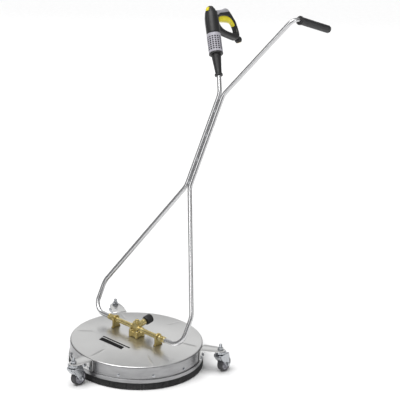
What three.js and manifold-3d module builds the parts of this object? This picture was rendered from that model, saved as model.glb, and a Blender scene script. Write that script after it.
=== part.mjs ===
// Walk-behind rotary surface cleaner for a pressure washer.
// A round stainless deck with a skirt brush rolls on three castors. A brass swivel in the middle
// feeds a spinning spray rotor under the deck, and carries a two-tube lance that tilts about a
// cross axle. The lance ends in a plain grip on one side and a trigger gun on the other.
// Millimetres, +Z up, the operator stands on the +Y side and the axle runs along X.

import * as THREE from 'three';
import { mergeVertices } from 'three/addons/utils/BufferGeometryUtils.js';
import Module from 'manifold-3d';

const wasm = await Module();
wasm.setup();

// ---------- driving dimensions ----------

const GAP = 0.3; // clearance between pieces that touch
const WIDE_SIDES = 48; // facets round the deck and the brush
const ROUND_SIDES = 16; // facets round ordinary turned pieces
const SMALL_SIDES = 10; // facets round bolts, bores and pipes

// deck
const DECK_RADIUS = 260;
const DECK_SHEET = 2;
const DECK_RIM_HEIGHT = 95;
const DECK_CROWN_HEIGHT = 108;
const CROWN_FLAT_RADIUS = 125;
const SKIRT_BOTTOM = 48.5;
const RIM_ROLL = 6;
const SHAFT_HOLE_RADIUS = 22;

// brush
const CARRIER_LIP_TOP = 43;
const CARRIER_BOTTOM = 27.5;
const CARRIER_RADIUS = 262;
const BRUSH_RADIUS = 264;
const BRUSH_INNER_RADIUS = 243;

// castors
const CASTOR_RADIUS = 338; // stem to deck centre
const CASTORS = [
  { name: 'front', angle: -90, trail: 90 },
  { name: 'left', angle: 30, trail: 98 },
  { name: 'right', angle: 150, trail: 90 },
];
const BRACKET_TOP = 97;
const BRACKET_SHEET = 4;
const WHEEL_RADIUS = 31;
const WHEEL_WIDTH = 24;
const WHEEL_TRAIL = 27; // axle behind the stem
const FORK_SHEET = 2.5;
const FORK_HALF_WIDTH = 18;
const FORK_CROWN_TOP = 79;
const STEM_RADIUS = 6;
const AXLE_RADIUS = 4;

// brass swivel
const AXLE_HEIGHT = 142;
const PIPE_RADIUS = 9.5;
const PIPE_BORE = 5.5;
const HOUSING_TOP = 172;
const BOSS_RADIUS = 8;
const BOSS_CIRCLE = 23;
const BOSS_TOP = 137;
const PEDESTAL_INNER = 112;
const PEDESTAL_OUTER = 121;
const COUPLING_START = 124;
const COUPLING_END = 154;
const VALVE_TILT = 10;

// rotor
const SHAFT_RADIUS = 8;
const ARM_HEIGHT = 67;
const ARM_REACH = 205;
const ARM_RADIUS = 7;

// lance
const LANCE_TILT = 26.7; // degrees back from upright
const TUBE_RADIUS = 9;
const TUBE_BORE = 7.5;
const TUBE_SPACING = 9.4; // half the distance between the two tubes where they run together
const YOKE_HALF_WIDTH = 239;
const YOKE_HEIGHT = 122;
const MERGE_HEIGHT = 586;
const SPLIT_HEIGHT = 971;
const SPLAY = 28.2; // degrees, each handle branch from the centre line
const GRIP_CORNER = { x: 212, z: 1334 };
const GRIP_LIFT = 5; // degrees the plain grip rises above square to the lance
const GRIP_START = 36;
const GRIP_END = 228;
const GRIP_RADIUS = 15.5;

// trigger gun, measured from the lower end of its collar
const GUN_OFFSET = 70; // along the branch from the split
const GUN_SPLAY = 33.5;
const GUN_SLEEVE_START = 102;
const GUN_SLEEVE_END = 182.5;
const GUN_LENGTH = 308;
const GUN_HALF_DEPTH = 14; // half the loop handle's thickness
const TRIGGER_PIVOT = { y: 48, z: 281 };
const TRIGGER_TRAVEL = 5; // degrees
const LATCH = { low: 280, high: 297, travel: 4 };
const INLET = { y: 170.6, z: 209, angle: 200 }; // foot of the handle, and how far the hose socket turns from Z
const TRIGGER_PIN_RADIUS = 3;
const TRIGGER_WIDTH = 18;
const VALVE_CARTRIDGE_RADIUS = 10;

// ---------- materials ----------

function finish(color, roughness, metalness) {
  return new THREE.MeshStandardMaterial({ color, roughness, metalness });
}

const deckSteel = finish(0xc6c7c8, 0.32, 1);
const tubeSteel = finish(0xd6d7d9, 0.18, 1);
const zincSteel = finish(0xc9cbcd, 0.3, 1);
const plainSteel = finish(0x9a9c9e, 0.4, 1);
const brass = finish(0xcdb566, 0.3, 1);
const bristle = finish(0x1c1c1c, 0.9, 0);
const tyreRubber = finish(0x3b3b3c, 0.8, 0);
const rimPlastic = finish(0x9b9ba3, 0.5, 0);
const blackPlastic = finish(0x2b2b2d, 0.5, 0);
const greyPlastic = finish(0xc4c4c8, 0.55, 0);
const greyRubber = finish(0xa9a7ac, 0.7, 0);
const yellowPlastic = finish(0xe6d728, 0.45, 0);

// ---------- shape helpers ----------

const radians = THREE.MathUtils.degToRad;

// Swaps the winding of a closed surface whose faces point inwards.
function facingOut(geometry) {
  const bare = new THREE.BufferGeometry();
  bare.setAttribute('position', geometry.attributes.position.clone());
  if (geometry.index) {
    bare.setIndex(geometry.index.clone());
  }
  const merged = mergeVertices(bare, 1e-4);
  const position = merged.attributes.position;
  const index = merged.index.array;
  const kept = [];
  const [a, b, c] = [new THREE.Vector3(), new THREE.Vector3(), new THREE.Vector3()];
  let volume = 0;
  for (let i = 0; i < index.length; i += 3) {
    const [p, q, r] = [index[i], index[i + 1], index[i + 2]];
    if (p === q || q === r || r === p) {
      continue;
    }
    a.fromBufferAttribute(position, p);
    b.fromBufferAttribute(position, q);
    c.fromBufferAttribute(position, r);
    volume += a.dot(b.cross(c));
    kept.push([p, q, r]);
  }
  const ordered = volume < 0 ? kept.map(([p, q, r]) => [p, r, q]) : kept;
  merged.setIndex(ordered.flat());
  return merged;
}

function toSolid(geometry) {
  const closed = facingOut(geometry);
  return new wasm.Manifold(new wasm.Mesh({
    numProp: 3,
    vertProperties: new Float32Array(closed.attributes.position.array),
    triVerts: new Uint32Array(closed.index.array),
  }));
}

function toGeometry(solid) {
  const shape = solid.getMesh();
  const geometry = new THREE.BufferGeometry();
  geometry.setAttribute('position', new THREE.Float32BufferAttribute(shape.vertProperties, 3));
  geometry.setIndex(new THREE.Uint32BufferAttribute(shape.triVerts, 1));
  return geometry;
}

function join(...geometries) {
  return toGeometry(geometries.map(toSolid).reduce((whole, piece) => whole.add(piece)));
}

function cut(geometry, ...tools) {
  return toGeometry(tools.map(toSolid).reduce((whole, tool) => whole.subtract(tool), toSolid(geometry)));
}

function common(first, second) {
  return toGeometry(toSolid(first).intersect(toSolid(second)));
}

// Turns a closed outline of [radius, height] points about Z.
function turned(outline, segments = ROUND_SIDES) {
  const points = outline.map(([radius, height]) => new THREE.Vector2(radius, height));
  points.push(points[0].clone());
  return new THREE.LatheGeometry(points, segments).rotateX(Math.PI / 2);
}

// Turns an open outline that starts and ends on the Z axis.
function turnedSolid(outline, segments = ROUND_SIDES) {
  const points = outline.map(([radius, height]) => new THREE.Vector2(radius, height));
  return new THREE.LatheGeometry(points, segments).rotateX(Math.PI / 2);
}

function rod(radius, bottom, top, segments = SMALL_SIDES) {
  const geometry = new THREE.CylinderGeometry(radius, radius, top - bottom, segments);
  return geometry.rotateX(Math.PI / 2).translate(0, 0, (bottom + top) / 2);
}

// A rod whose flats, not its corners, lie on the radius, for cutting a hole.
function drill(radius, bottom, top, segments = SMALL_SIDES) {
  return rod(radius / Math.cos(Math.PI / segments), bottom, top, segments);
}

function box(low, high) {
  const size = high.map((value, i) => value - low[i]);
  const centre = high.map((value, i) => (value + low[i]) / 2);
  return new THREE.BoxGeometry(...size).translate(...centre);
}

function hexagon(acrossFlats, bottom, top) {
  return rod(acrossFlats / Math.sqrt(3), bottom, top, 6);
}

// A flat outline of [x, y] points, thickened along Z.
function plate(outline, thickness) {
  const shape = new THREE.Shape(outline.map(([x, y]) => new THREE.Vector2(x, y)));
  return new THREE.ExtrudeGeometry(shape, { depth: thickness, bevelEnabled: false });
}

// Lays a geometry drawn about Z along the X axis.
function alongX(geometry) {
  return geometry.rotateY(Math.PI / 2);
}

// Moves a shape drawn in X and Y into the Y-Z plane, with its thickness along X.
function intoSidePlane(geometry, thickness) {
  const turn = new THREE.Matrix4().makeBasis(
    new THREE.Vector3(0, 1, 0),
    new THREE.Vector3(0, 0, 1),
    new THREE.Vector3(1, 0, 0),
  );
  return geometry.translate(0, 0, -thickness / 2).applyMatrix4(turn);
}

function sidePlate(outline, thickness) {
  return intoSidePlane(plate(outline, thickness), thickness);
}

// A path of straight runs and round bends that is sampled only where it needs to be.
class BentPath extends THREE.Curve {
  constructor(corners, radii, stepsPerBend) {
    super();
    this.points = [corners[0].clone()];
    this.directions = [corners[1].clone().sub(corners[0]).normalize()];
    for (let i = 1; i < corners.length - 1; i++) {
      this.addBend(corners[i - 1], corners[i], corners[i + 1], radii[i - 1], stepsPerBend);
    }
    const last = corners.length - 1;
    this.points.push(corners[last].clone());
    this.directions.push(corners[last].clone().sub(corners[last - 1]).normalize());
  }

  addBend(before, corner, after, radius, steps) {
    const arriving = corner.clone().sub(before).normalize();
    const leaving = after.clone().sub(corner).normalize();
    const angle = arriving.angleTo(leaving);
    const start = corner.clone().addScaledVector(arriving, -radius * Math.tan(angle / 2));
    const axis = arriving.clone().cross(leaving).normalize();
    const inward = axis.clone().cross(arriving);
    const centre = start.clone().addScaledVector(inward, radius);
    const count = Math.max(2, Math.round((steps * angle) / (Math.PI / 2)));
    for (let i = 0; i <= count; i++) {
      const turn = (angle * i) / count;
      const spoke = start.clone().sub(centre).applyAxisAngle(axis, turn);
      this.points.push(centre.clone().add(spoke));
      this.directions.push(arriving.clone().applyAxisAngle(axis, turn));
    }
  }

  get steps() {
    return this.points.length - 1;
  }

  getPointAt(u) {
    return this.points[Math.round(u * this.steps)].clone();
  }

  getTangentAt(u) {
    return this.directions[Math.round(u * this.steps)].clone();
  }
}

function pipe(path, radius, bore, sides = SMALL_SIDES) {
  const ring = new THREE.Shape().absarc(0, 0, radius, 0, 2 * Math.PI, false);
  ring.holes.push(new THREE.Path().absarc(0, 0, bore, 0, 2 * Math.PI, true));
  return new THREE.ExtrudeGeometry(ring, {
    steps: path.steps,
    curveSegments: sides / 2,
    extrudePath: path,
  });
}

function add(parent, name, geometry, material) {
  const mesh = new THREE.Mesh(facingOut(geometry), material);
  mesh.name = name;
  parent.add(mesh);
  return mesh;
}

// ---------- deck ----------

function deckShell() {
  const inner = DECK_RADIUS - DECK_SHEET;
  const top = [
    [SHAFT_HOLE_RADIUS, DECK_CROWN_HEIGHT],
    [CROWN_FLAT_RADIUS, DECK_CROWN_HEIGHT],
    [190, 102.5],
    [DECK_RADIUS - RIM_ROLL, DECK_RIM_HEIGHT],
  ];
  const outer = [45, 90].map((angle) => [
    DECK_RADIUS - RIM_ROLL + RIM_ROLL * Math.sin(radians(angle)),
    DECK_RIM_HEIGHT - RIM_ROLL + RIM_ROLL * Math.cos(radians(angle)),
  ]);
  const underside = [3, 1, 0].map((i) => [top[i][0], top[i][1] - DECK_SHEET]);
  const skirt = [
    [DECK_RADIUS, SKIRT_BOTTOM],
    [inner, SKIRT_BOTTOM],
    [inner, DECK_RIM_HEIGHT - RIM_ROLL],
  ];
  return turned([...top, ...outer, ...skirt, ...underside], WIDE_SIDES);
}

function brushCarrier() {
  const nest = DECK_RADIUS - DECK_SHEET - 0.5; // fits inside the skirt
  return turned([
    [BRUSH_INNER_RADIUS - 3, CARRIER_BOTTOM],
    [CARRIER_RADIUS, CARRIER_BOTTOM],
    [CARRIER_RADIUS, CARRIER_LIP_TOP],
    [nest, CARRIER_LIP_TOP],
    [nest, 72],
    [nest - 3, 72],
    [nest - 3, CARRIER_BOTTOM + 3],
    [BRUSH_INNER_RADIUS - 3, CARRIER_BOTTOM + 3],
  ], WIDE_SIDES);
}

function brushRing() {
  return turned([
    [BRUSH_INNER_RADIUS, 0],
    [BRUSH_RADIUS, 0],
    [CARRIER_RADIUS - 1, CARRIER_BOTTOM - GAP],
    [BRUSH_INNER_RADIUS, CARRIER_BOTTOM - GAP],
  ], WIDE_SIDES);
}

function hubPlate() {
  const top = DECK_CROWN_HEIGHT - DECK_SHEET - 0.7;
  return turned([
    [SHAFT_HOLE_RADIUS, top - 4],
    [72, top - 4],
    [72, top],
    [SHAFT_HOLE_RADIUS, top],
  ], WIDE_SIDES / 2);
}

function addDeck(parent) {
  add(parent, 'deck_shell', deckShell(), deckSteel);
  add(parent, 'brush_carrier', brushCarrier(), deckSteel);
  add(parent, 'brush_ring', brushRing(), bristle);
  add(parent, 'hub_plate', hubPlate(), plainSteel);
}

// ---------- castors ----------

// The bracket is an arm with a leg that is fixed to the skirt. It is drawn with the arm along X.
function castorBracket() {
  const root = DECK_RADIUS + 0.4;
  const arm = plate([
    [root, -27],
    [318, -25],
    [344, -18],
    [354, -10],
    [357, 0],
    [354, 10],
    [344, 18],
    [318, 25],
    [root, 27],
  ], BRACKET_SHEET).translate(0, 0, BRACKET_TOP - BRACKET_SHEET);
  const leg = box([root, -27, 46], [root + BRACKET_SHEET, 27, BRACKET_TOP - 1]);
  const hole = drill(STEM_RADIUS + GAP, 80, 110).translate(CASTOR_RADIUS, 0, 0);
  return cut(join(arm, leg), hole);
}

// Stud, upper bearing race and riveted foot, turned as one piece.
function castorStem() {
  const raceTop = BRACKET_TOP - BRACKET_SHEET - GAP;
  return turnedSolid([
    [0, 70],
    [9, 70],
    [9, 75],
    [STEM_RADIUS, 75],
    [STEM_RADIUS, 80.5],
    [16, 80.5],
    [22, 84],
    [22, raceTop],
    [STEM_RADIUS, raceTop],
    [STEM_RADIUS, 121],
    [0, 121],
  ]);
}

function stemNut() {
  const bottom = BRACKET_TOP + GAP;
  return cut(hexagon(19, bottom, bottom + 10), drill(STEM_RADIUS + GAP, 90, 120));
}

// Drawn about the stem, with the wheel trailing along Y.
function castorFork() {
  const bottom = FORK_CROWN_TOP - FORK_SHEET;
  const crown = plate([
    [-FORK_HALF_WIDTH, -16],
    [-10, -22],
    [10, -22],
    [FORK_HALF_WIDTH, -16],
    [FORK_HALF_WIDTH, 33],
    [-FORK_HALF_WIDTH, 33],
  ], FORK_SHEET).translate(0, 0, bottom);
  const legOutline = [
    [-16, FORK_CROWN_TOP],
    [-16, 70],
    [18, 27],
    [22, 22.5],
    [28, 21],
    [34, 23],
    [37, 29],
    [39, 62],
    [33, FORK_CROWN_TOP],
  ];
  const web = sidePlate([
    [-22, FORK_CROWN_TOP],
    [-22, 71],
    [-10, 56],
    [-7.5, 58],
    [-19.5, 72.5],
    [-19.5, FORK_CROWN_TOP],
  ], 20);
  const cheek = sidePlate([
    [-18, FORK_CROWN_TOP],
    [-18, 69],
    [-4, 51.5],
    [-2, 53.5],
    [-15, 70.5],
    [-15, FORK_CROWN_TOP],
  ], 2 * FORK_HALF_WIDTH);
  const legs = [-1, 1].map((side) => (
    sidePlate(legOutline, FORK_SHEET).translate(side * (FORK_HALF_WIDTH - FORK_SHEET / 2), 0, 0)
  ));
  const stemHole = drill(STEM_RADIUS + GAP, 60, 90);
  const axleHole = alongX(drill(AXLE_RADIUS + GAP, -40, 40)).translate(0, WHEEL_TRAIL, WHEEL_RADIUS);
  return cut(join(crown, web, cheek, ...legs), stemHole, axleHole);
}

function wheelTyre() {
  const half = WHEEL_WIDTH / 2;
  return turned([
    [23.5, -half + 1],
    [28, -half],
    [WHEEL_RADIUS, -half + 4],
    [WHEEL_RADIUS, half - 4],
    [28, half],
    [23.5, half - 1],
  ]);
}

function wheelHub() {
  const bore = AXLE_RADIUS + GAP;
  return turned([
    [bore, -14],
    [9, -14],
    [9, -5],
    [20, -5],
    [23.2, -11],
    [23.2, 11],
    [20, 5],
    [9, 5],
    [9, 14],
    [bore, 14],
  ]);
}

// Hex head, shank and nut drawn as one piece.
function axleBolt() {
  const seat = FORK_HALF_WIDTH + GAP;
  return join(
    hexagon(13, seat, seat + 5.5),
    rod(AXLE_RADIUS, -seat - 8, seat + 1, ROUND_SIDES),
    hexagon(13, -seat - 6.5, -seat),
  );
}

function addCastor(parent, { name, angle, trail }) {
  const arm = new THREE.Group();
  arm.rotation.z = radians(angle);
  parent.add(arm);
  add(arm, `castor_bracket_${name}`, castorBracket(), deckSteel);

  const swivel = new THREE.Group();
  swivel.position.set(
    CASTOR_RADIUS * Math.cos(radians(angle)),
    CASTOR_RADIUS * Math.sin(radians(angle)),
    0,
  );
  swivel.rotation.z = radians(trail - 90);
  parent.add(swivel);
  add(swivel, `castor_stem_${name}`, castorStem(), zincSteel);
  add(swivel, `castor_nut_${name}`, stemNut(), zincSteel);
  add(swivel, `castor_fork_${name}`, castorFork(), zincSteel);

  const wheel = new THREE.Group();
  wheel.position.set(0, WHEEL_TRAIL, WHEEL_RADIUS);
  wheel.rotation.y = Math.PI / 2;
  swivel.add(wheel);
  add(wheel, `castor_tyre_${name}`, wheelTyre(), tyreRubber);
  add(wheel, `castor_hub_${name}`, wheelHub(), rimPlastic);
  add(wheel, `castor_bolt_${name}`, axleBolt(), zincSteel);
}

// ---------- brass swivel ----------

function swivelHousing() {
  const seat = DECK_CROWN_HEIGHT + GAP;
  const base = rod(22, seat, 131);
  const bosses = [45, 135, 225, 315].map((angle) => (
    rod(BOSS_RADIUS, seat, BOSS_TOP, ROUND_SIDES).translate(
      BOSS_CIRCLE * Math.cos(radians(angle)),
      BOSS_CIRCLE * Math.sin(radians(angle)),
      0,
    )
  ));
  const tower = box([-12.5, -12.5, 120], [12.5, 12.5, HOUSING_TOP - 2]);
  const crossBoss = alongX(rod(12, -22, 22)).translate(0, 0, AXLE_HEIGHT);
  const shaftBore = drill(SHAFT_RADIUS + GAP, 100, AXLE_HEIGHT + 4);
  const bearingSeat = drill(15, 100, 126.6);
  const sealSeat = drill(12, 110, 130.6);
  const crossBore = alongX(drill(PIPE_BORE, -30, 30)).translate(0, 0, AXLE_HEIGHT);
  return cut(join(base, tower, crossBoss, ...bosses), shaftBore, bearingSeat, sealSeat, crossBore);
}

function axlePipe() {
  return alongX(turned([
    [PIPE_BORE, 22 + GAP],
    [12, 22 + GAP],
    [12, 31],
    [PIPE_RADIUS, 33],
    [PIPE_RADIUS, COUPLING_START - GAP],
    [PIPE_BORE, COUPLING_START - GAP],
  ])).translate(0, 0, AXLE_HEIGHT);
}

// Upright plate with a round head and a broad foot, bored for the axle pipe.
function pedestal() {
  const radius = 17;
  const head = [0, 30, 60, 90, 120, 150, 180].map((angle) => [
    radius * Math.cos(radians(angle)),
    AXLE_HEIGHT + radius * Math.sin(radians(angle)),
  ]);
  const seat = DECK_CROWN_HEIGHT + GAP;
  const width = PEDESTAL_OUTER - PEDESTAL_INNER;
  const foot = [[-21, seat + 4], [-21, seat], [21, seat], [21, seat + 4], [radius, seat + 8]];
  const upright = sidePlate([...foot, ...head, [-radius, seat + 8]], width);
  upright.translate((PEDESTAL_INNER + PEDESTAL_OUTER) / 2, 0, 0);
  const bore = alongX(drill(PIPE_RADIUS + GAP, 90, 130)).translate(0, 0, AXLE_HEIGHT);
  return cut(upright, bore);
}

// Rotating union that carries a lance leg on the end of the axle pipe.
function swivelCoupling() {
  const bore = TUBE_RADIUS + GAP;
  return alongX(turned([
    [bore, COUPLING_START],
    [13.5, COUPLING_START],
    [13.5, 142],
    [10.5, 143],
    [10.5, 147],
    [12, 148],
    [12, COUPLING_END],
    [bore, COUPLING_END],
  ])).translate(0, 0, AXLE_HEIGHT);
}

function topPlug() {
  const seat = HOUSING_TOP - 2 + GAP;
  return join(rod(10, seat, seat + 2.5), hexagon(15, seat + 2, seat + 8));
}

// The stub and the knob share one axis that leaves the tower towards the operator.
function onValveAxis(geometry) {
  return geometry.rotateX(radians(VALVE_TILT - 90)).translate(0, 0, AXLE_HEIGHT + 8);
}

function valveBody() {
  const outline = [[0, 16], [11.5, 16], [12.5, 17], [12.5, 42], [10, 44], [5, 44], [5, 50], [0, 50]];
  return onValveAxis(turnedSolid(outline));
}

function valveKnob() {
  return onValveAxis(turned([
    [5 + GAP, 46],
    [16, 46],
    [17.5, 48],
    [17.5, 75],
    [15, 78],
    [0.5, 78],
    [0.5, 51],
    [5 + GAP, 51],
  ]));
}

function mirrored(geometry) {
  return geometry.clone().scale(-1, 1, 1);
}

function addSwivel(parent) {
  add(parent, 'swivel_housing', swivelHousing(), brass);
  add(parent, 'swivel_top_plug', topPlug(), brass);
  add(parent, 'axle_pipe_left', axlePipe(), brass);
  add(parent, 'axle_pipe_right', mirrored(axlePipe()), brass);
  add(parent, 'pedestal_left', pedestal(), brass);
  add(parent, 'pedestal_right', mirrored(pedestal()), brass);
  add(parent, 'valve_body', valveBody(), brass);
  add(parent, 'valve_knob', valveKnob(), blackPlastic);
}

// ---------- spray rotor ----------

function bearing(bottom) {
  const inner = SHAFT_RADIUS + GAP;
  return turned([[inner, bottom], [14.7, bottom], [14.7, bottom + 8], [inner, bottom + 8]]);
}

function shaftSeal() {
  const inner = SHAFT_RADIUS + GAP;
  return turned([[inner, 127], [11.7, 127], [11.7, 130.2], [inner, 130.2]]);
}

function rotorHub() {
  const block = turned([
    [SHAFT_RADIUS + GAP, 54],
    [18, 54],
    [22, 58],
    [22, 76],
    [18, 80],
    [SHAFT_RADIUS + GAP, 80],
  ]);
  const sockets = [-30, 14].map((start) => (
    alongX(drill(ARM_RADIUS + GAP, start, start + 16)).translate(0, 0, ARM_HEIGHT)
  ));
  return cut(block, ...sockets);
}

function rotorShaft() {
  return rod(SHAFT_RADIUS, 44, AXLE_HEIGHT, ROUND_SIDES);
}

function rotorNut() {
  return cut(hexagon(24, 45, 54 - GAP), drill(SHAFT_RADIUS + GAP, 40, 60));
}

// Arm along X whose end bends down to the jet.
function sprayArm() {
  const path = new BentPath([
    new THREE.Vector3(14.5, 0, ARM_HEIGHT),
    new THREE.Vector3(ARM_REACH, 0, ARM_HEIGHT),
    new THREE.Vector3(ARM_REACH, -6, ARM_HEIGHT - 22),
  ], [12], 3);
  return pipe(path, ARM_RADIUS, 4.5);
}

function sprayJet() {
  const drop = new THREE.Vector3(0, -6, -22).normalize();
  const jet = turned([[1.2, 0], [8.5, 0], [8.5, 10], [4, 15], [1.2, 15]]);
  jet.applyQuaternion(new THREE.Quaternion().setFromUnitVectors(new THREE.Vector3(0, 0, 1), drop));
  const start = new THREE.Vector3(ARM_REACH, -6, ARM_HEIGHT - 22).addScaledVector(drop, GAP);
  return jet.translate(start.x, start.y, start.z);
}

function turnedHalfway(geometry) {
  return geometry.clone().rotateZ(Math.PI);
}

function addRotor(parent) {
  add(parent, 'rotor_bearing_upper', bearing(118.3), plainSteel);
  add(parent, 'rotor_bearing_lower', bearing(110), plainSteel);
  add(parent, 'shaft_seal', shaftSeal(), bristle);
  add(parent, 'rotor_shaft', rotorShaft(), plainSteel);
  add(parent, 'rotor_hub', rotorHub(), brass);
  add(parent, 'rotor_nut', rotorNut(), zincSteel);
  add(parent, 'spray_arm_a', sprayArm(), tubeSteel);
  add(parent, 'spray_arm_b', turnedHalfway(sprayArm()), tubeSteel);
  add(parent, 'spray_jet_a', sprayJet(), brass);
  add(parent, 'spray_jet_b', turnedHalfway(sprayJet()), brass);
}

// ---------- lance ----------

// Every lance piece is drawn upright, with its origin on the cross axle.

function lanceCorners(side) {
  const at = (x, z, y = 0) => new THREE.Vector3(side * x, y, z);
  return [
    at(COUPLING_START + 3, 0),
    at(YOKE_HALF_WIDTH, 0),
    at(YOKE_HALF_WIDTH, YOKE_HEIGHT),
    at(TUBE_SPACING, MERGE_HEIGHT),
    at(TUBE_SPACING, SPLIT_HEIGHT),
  ];
}

function gripTube() {
  const lift = radians(GRIP_LIFT);
  const reach = GRIP_END - 12;
  const corners = lanceCorners(1);
  corners.push(new THREE.Vector3(GRIP_CORNER.x, 0, GRIP_CORNER.z));
  corners.push(new THREE.Vector3(
    GRIP_CORNER.x,
    reach * Math.cos(lift),
    GRIP_CORNER.z + reach * Math.sin(lift),
  ));
  return pipe(new BentPath(corners, [50, 70, 70, 70, 34], 5), TUBE_RADIUS, TUBE_BORE);
}

function gunTube() {
  const corners = lanceCorners(-1);
  const length = GUN_OFFSET + 8;
  corners.push(new THREE.Vector3(
    -TUBE_SPACING - length * Math.sin(radians(SPLAY)),
    0,
    SPLIT_HEIGHT + length * Math.cos(radians(SPLAY)),
  ));
  return pipe(new BentPath(corners, [50, 70, 70, 70], 5), TUBE_RADIUS, TUBE_BORE);
}

// Moulded sleeve with a flange at the bend and a closed round end.
function plainGrip() {
  const bore = TUBE_RADIUS + GAP;
  const grip = turned([
    [bore, GRIP_START],
    [17, GRIP_START],
    [18, GRIP_START + 1],
    [18, GRIP_START + 5],
    [GRIP_RADIUS, GRIP_START + 7],
    [GRIP_RADIUS, GRIP_END - 6],
    [GRIP_RADIUS - 2, GRIP_END - 2],
    [GRIP_RADIUS - 5.5, GRIP_END],
    [3, GRIP_END],
    [3, GRIP_END - 8],
    [bore, GRIP_END - 8],
  ]);
  grip.rotateX(radians(GRIP_LIFT - 90));
  return grip.translate(GRIP_CORNER.x, 0, GRIP_CORNER.z);
}

// ---------- trigger gun ----------

// Gun pieces are drawn with the barrel along Z and the loop handle reaching out along Y.

function splineOutline(points, samples) {
  const curve = new THREE.CatmullRomCurve3(
    points.map(([y, z]) => new THREE.Vector3(y, z, 0)),
    true,
    'catmullrom',
    0.4,
  );
  return curve.getPoints(samples).slice(0, -1).map((point) => [point.x, point.y]);
}

const handleOutline = [[0, 205], [40, 201], [80, 199], [125, 199.5], [150, 202], [164, 212], [168, 228],
  [165, 246], [160, 262], [152, 280], [138, 296], [125, 309], [113, 317.5], [101, 321], [88, 317],
  [60, 304], [26, 291], [0, 275]];
const loopOutline = [[31, 246], [36, 262], [52, 273], [80, 283], [105, 288], [123, 285], [137, 275],
  [147, 262], [153, 247], [150, 233], [136, 223.5], [108, 221], [80, 220], [58, 222.5], [42, 231]];
const triggerOutline = [[42, 258], [39, 271], [41, 285], [50, 290], [62, 288], [80, 289.5], [104, 293],
  [124, 290], [139, 279], [148, 266], [146, 259.5], [138, 264], [129, 269], [118, 269.5], [96, 264.5],
  [72, 258.5], [52, 253.5]];

function gunHandle() {
  const depth = 2 * GUN_HALF_DEPTH;
  const bevel = 5;
  const outline = splineOutline(handleOutline, 36);
  const shape = new THREE.Shape(outline.map(([y, z]) => new THREE.Vector2(y, z)));
  const solid = new THREE.ExtrudeGeometry(shape, {
    depth: depth - 2 * bevel,
    bevelThickness: bevel,
    bevelSize: bevel,
    bevelOffset: -bevel,
    bevelSegments: 1,
  }).translate(0, 0, bevel);
  return intoSidePlane(solid, depth);
}

function gunBarrel() {
  return turnedSolid([
    [0, GUN_SLEEVE_END + GAP],
    [26, GUN_SLEEVE_END + GAP],
    [27.5, GUN_SLEEVE_END + 4],
    [28, 205],
    [28, 235],
    [27, 255],
    [24, 275],
    [19, 290],
    [12, 302],
    [0, GUN_LENGTH],
  ]);
}

function atInlet(geometry) {
  return geometry.rotateX(radians(INLET.angle)).translate(0, INLET.y, INLET.z);
}

// The trigger's space over its whole travel, with a little clearance all round.
function triggerPocket() {
  const outline = splineOutline(triggerOutline, 34);
  const shape = new THREE.Shape(outline.map(([y, z]) => new THREE.Vector2(y, z)));
  const width = TRIGGER_WIDTH + 2;
  const steps = 4;
  const copies = Array.from({ length: steps + 1 }, (_, i) => {
    const angle = -0.5 + ((TRIGGER_TRAVEL + 1) * i) / steps;
    const space = new THREE.ExtrudeGeometry(shape, {
      depth: width - 0.2,
      bevelThickness: 0.1,
      bevelSize: 1,
      bevelSegments: 1,
    }).translate(0, 0, 0.1);
    intoSidePlane(space, width).translate(0, -TRIGGER_PIVOT.y, -TRIGGER_PIVOT.z);
    return space.rotateX(radians(angle)).translate(0, TRIGGER_PIVOT.y, TRIGGER_PIVOT.z);
  });
  return join(...copies);
}

function atPivot(geometry) {
  return alongX(geometry).translate(0, TRIGGER_PIVOT.y, TRIGGER_PIVOT.z);
}

function gunHousing() {
  const loop = sidePlate(splineOutline(loopOutline, 30), 4 * GUN_HALF_DEPTH);
  const valveBore = drill(VALVE_CARTRIDGE_RADIUS + GAP, 150, 256);
  const pinBore = atPivot(drill(TRIGGER_PIN_RADIUS + GAP, -11, 11));
  const inletSeat = atInlet(turnedSolid([
    [0, -13.4], [7.7, -13.4], [11.8, -9.9], [14.9, -4.1], [15.4, 0], [15.4, 30], [0, 30],
  ]));
  const latchSlot = box([-7, -40, LATCH.low - 0.5], [7, -7 + LATCH.travel, LATCH.high + 0.5]);
  const whole = join(gunBarrel(), gunHandle());
  return cut(whole, loop, triggerPocket(), valveBore, pinBore, inletSeat, latchSlot);
}

// The two moulded halves meet on the middle plane of the loop.
function gunHalf(side) {
  const near = side * GAP / 2;
  const far = side * 60;
  const keep = box([Math.min(near, far), -60, 150], [Math.max(near, far), 220, 330]);
  return common(gunHousing(), keep);
}

function gunTrigger() {
  const bevel = 2;
  const outline = splineOutline(triggerOutline, 34);
  const shape = new THREE.Shape(outline.map(([y, z]) => new THREE.Vector2(y, z)));
  const lever = new THREE.ExtrudeGeometry(shape, {
    depth: TRIGGER_WIDTH - 2 * bevel,
    bevelThickness: bevel,
    bevelSize: bevel,
    bevelOffset: -bevel,
    bevelSegments: 1,
  }).translate(0, 0, bevel);
  return cut(intoSidePlane(lever, TRIGGER_WIDTH), atPivot(drill(TRIGGER_PIN_RADIUS + GAP, -20, 20)));
}

// The handle's outline with a little clearance, wider than the pad.
function gunHousingClearance() {
  return intoSidePlane(new THREE.ExtrudeGeometry(
    new THREE.Shape(splineOutline(handleOutline, 36).map(([y, z]) => new THREE.Vector2(y, z))),
    { depth: 2 * GUN_HALF_DEPTH + GAP, bevelThickness: 0.1, bevelSize: GAP, bevelSegments: 1 },
  ), 2 * GUN_HALF_DEPTH + GAP);
}

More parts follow.
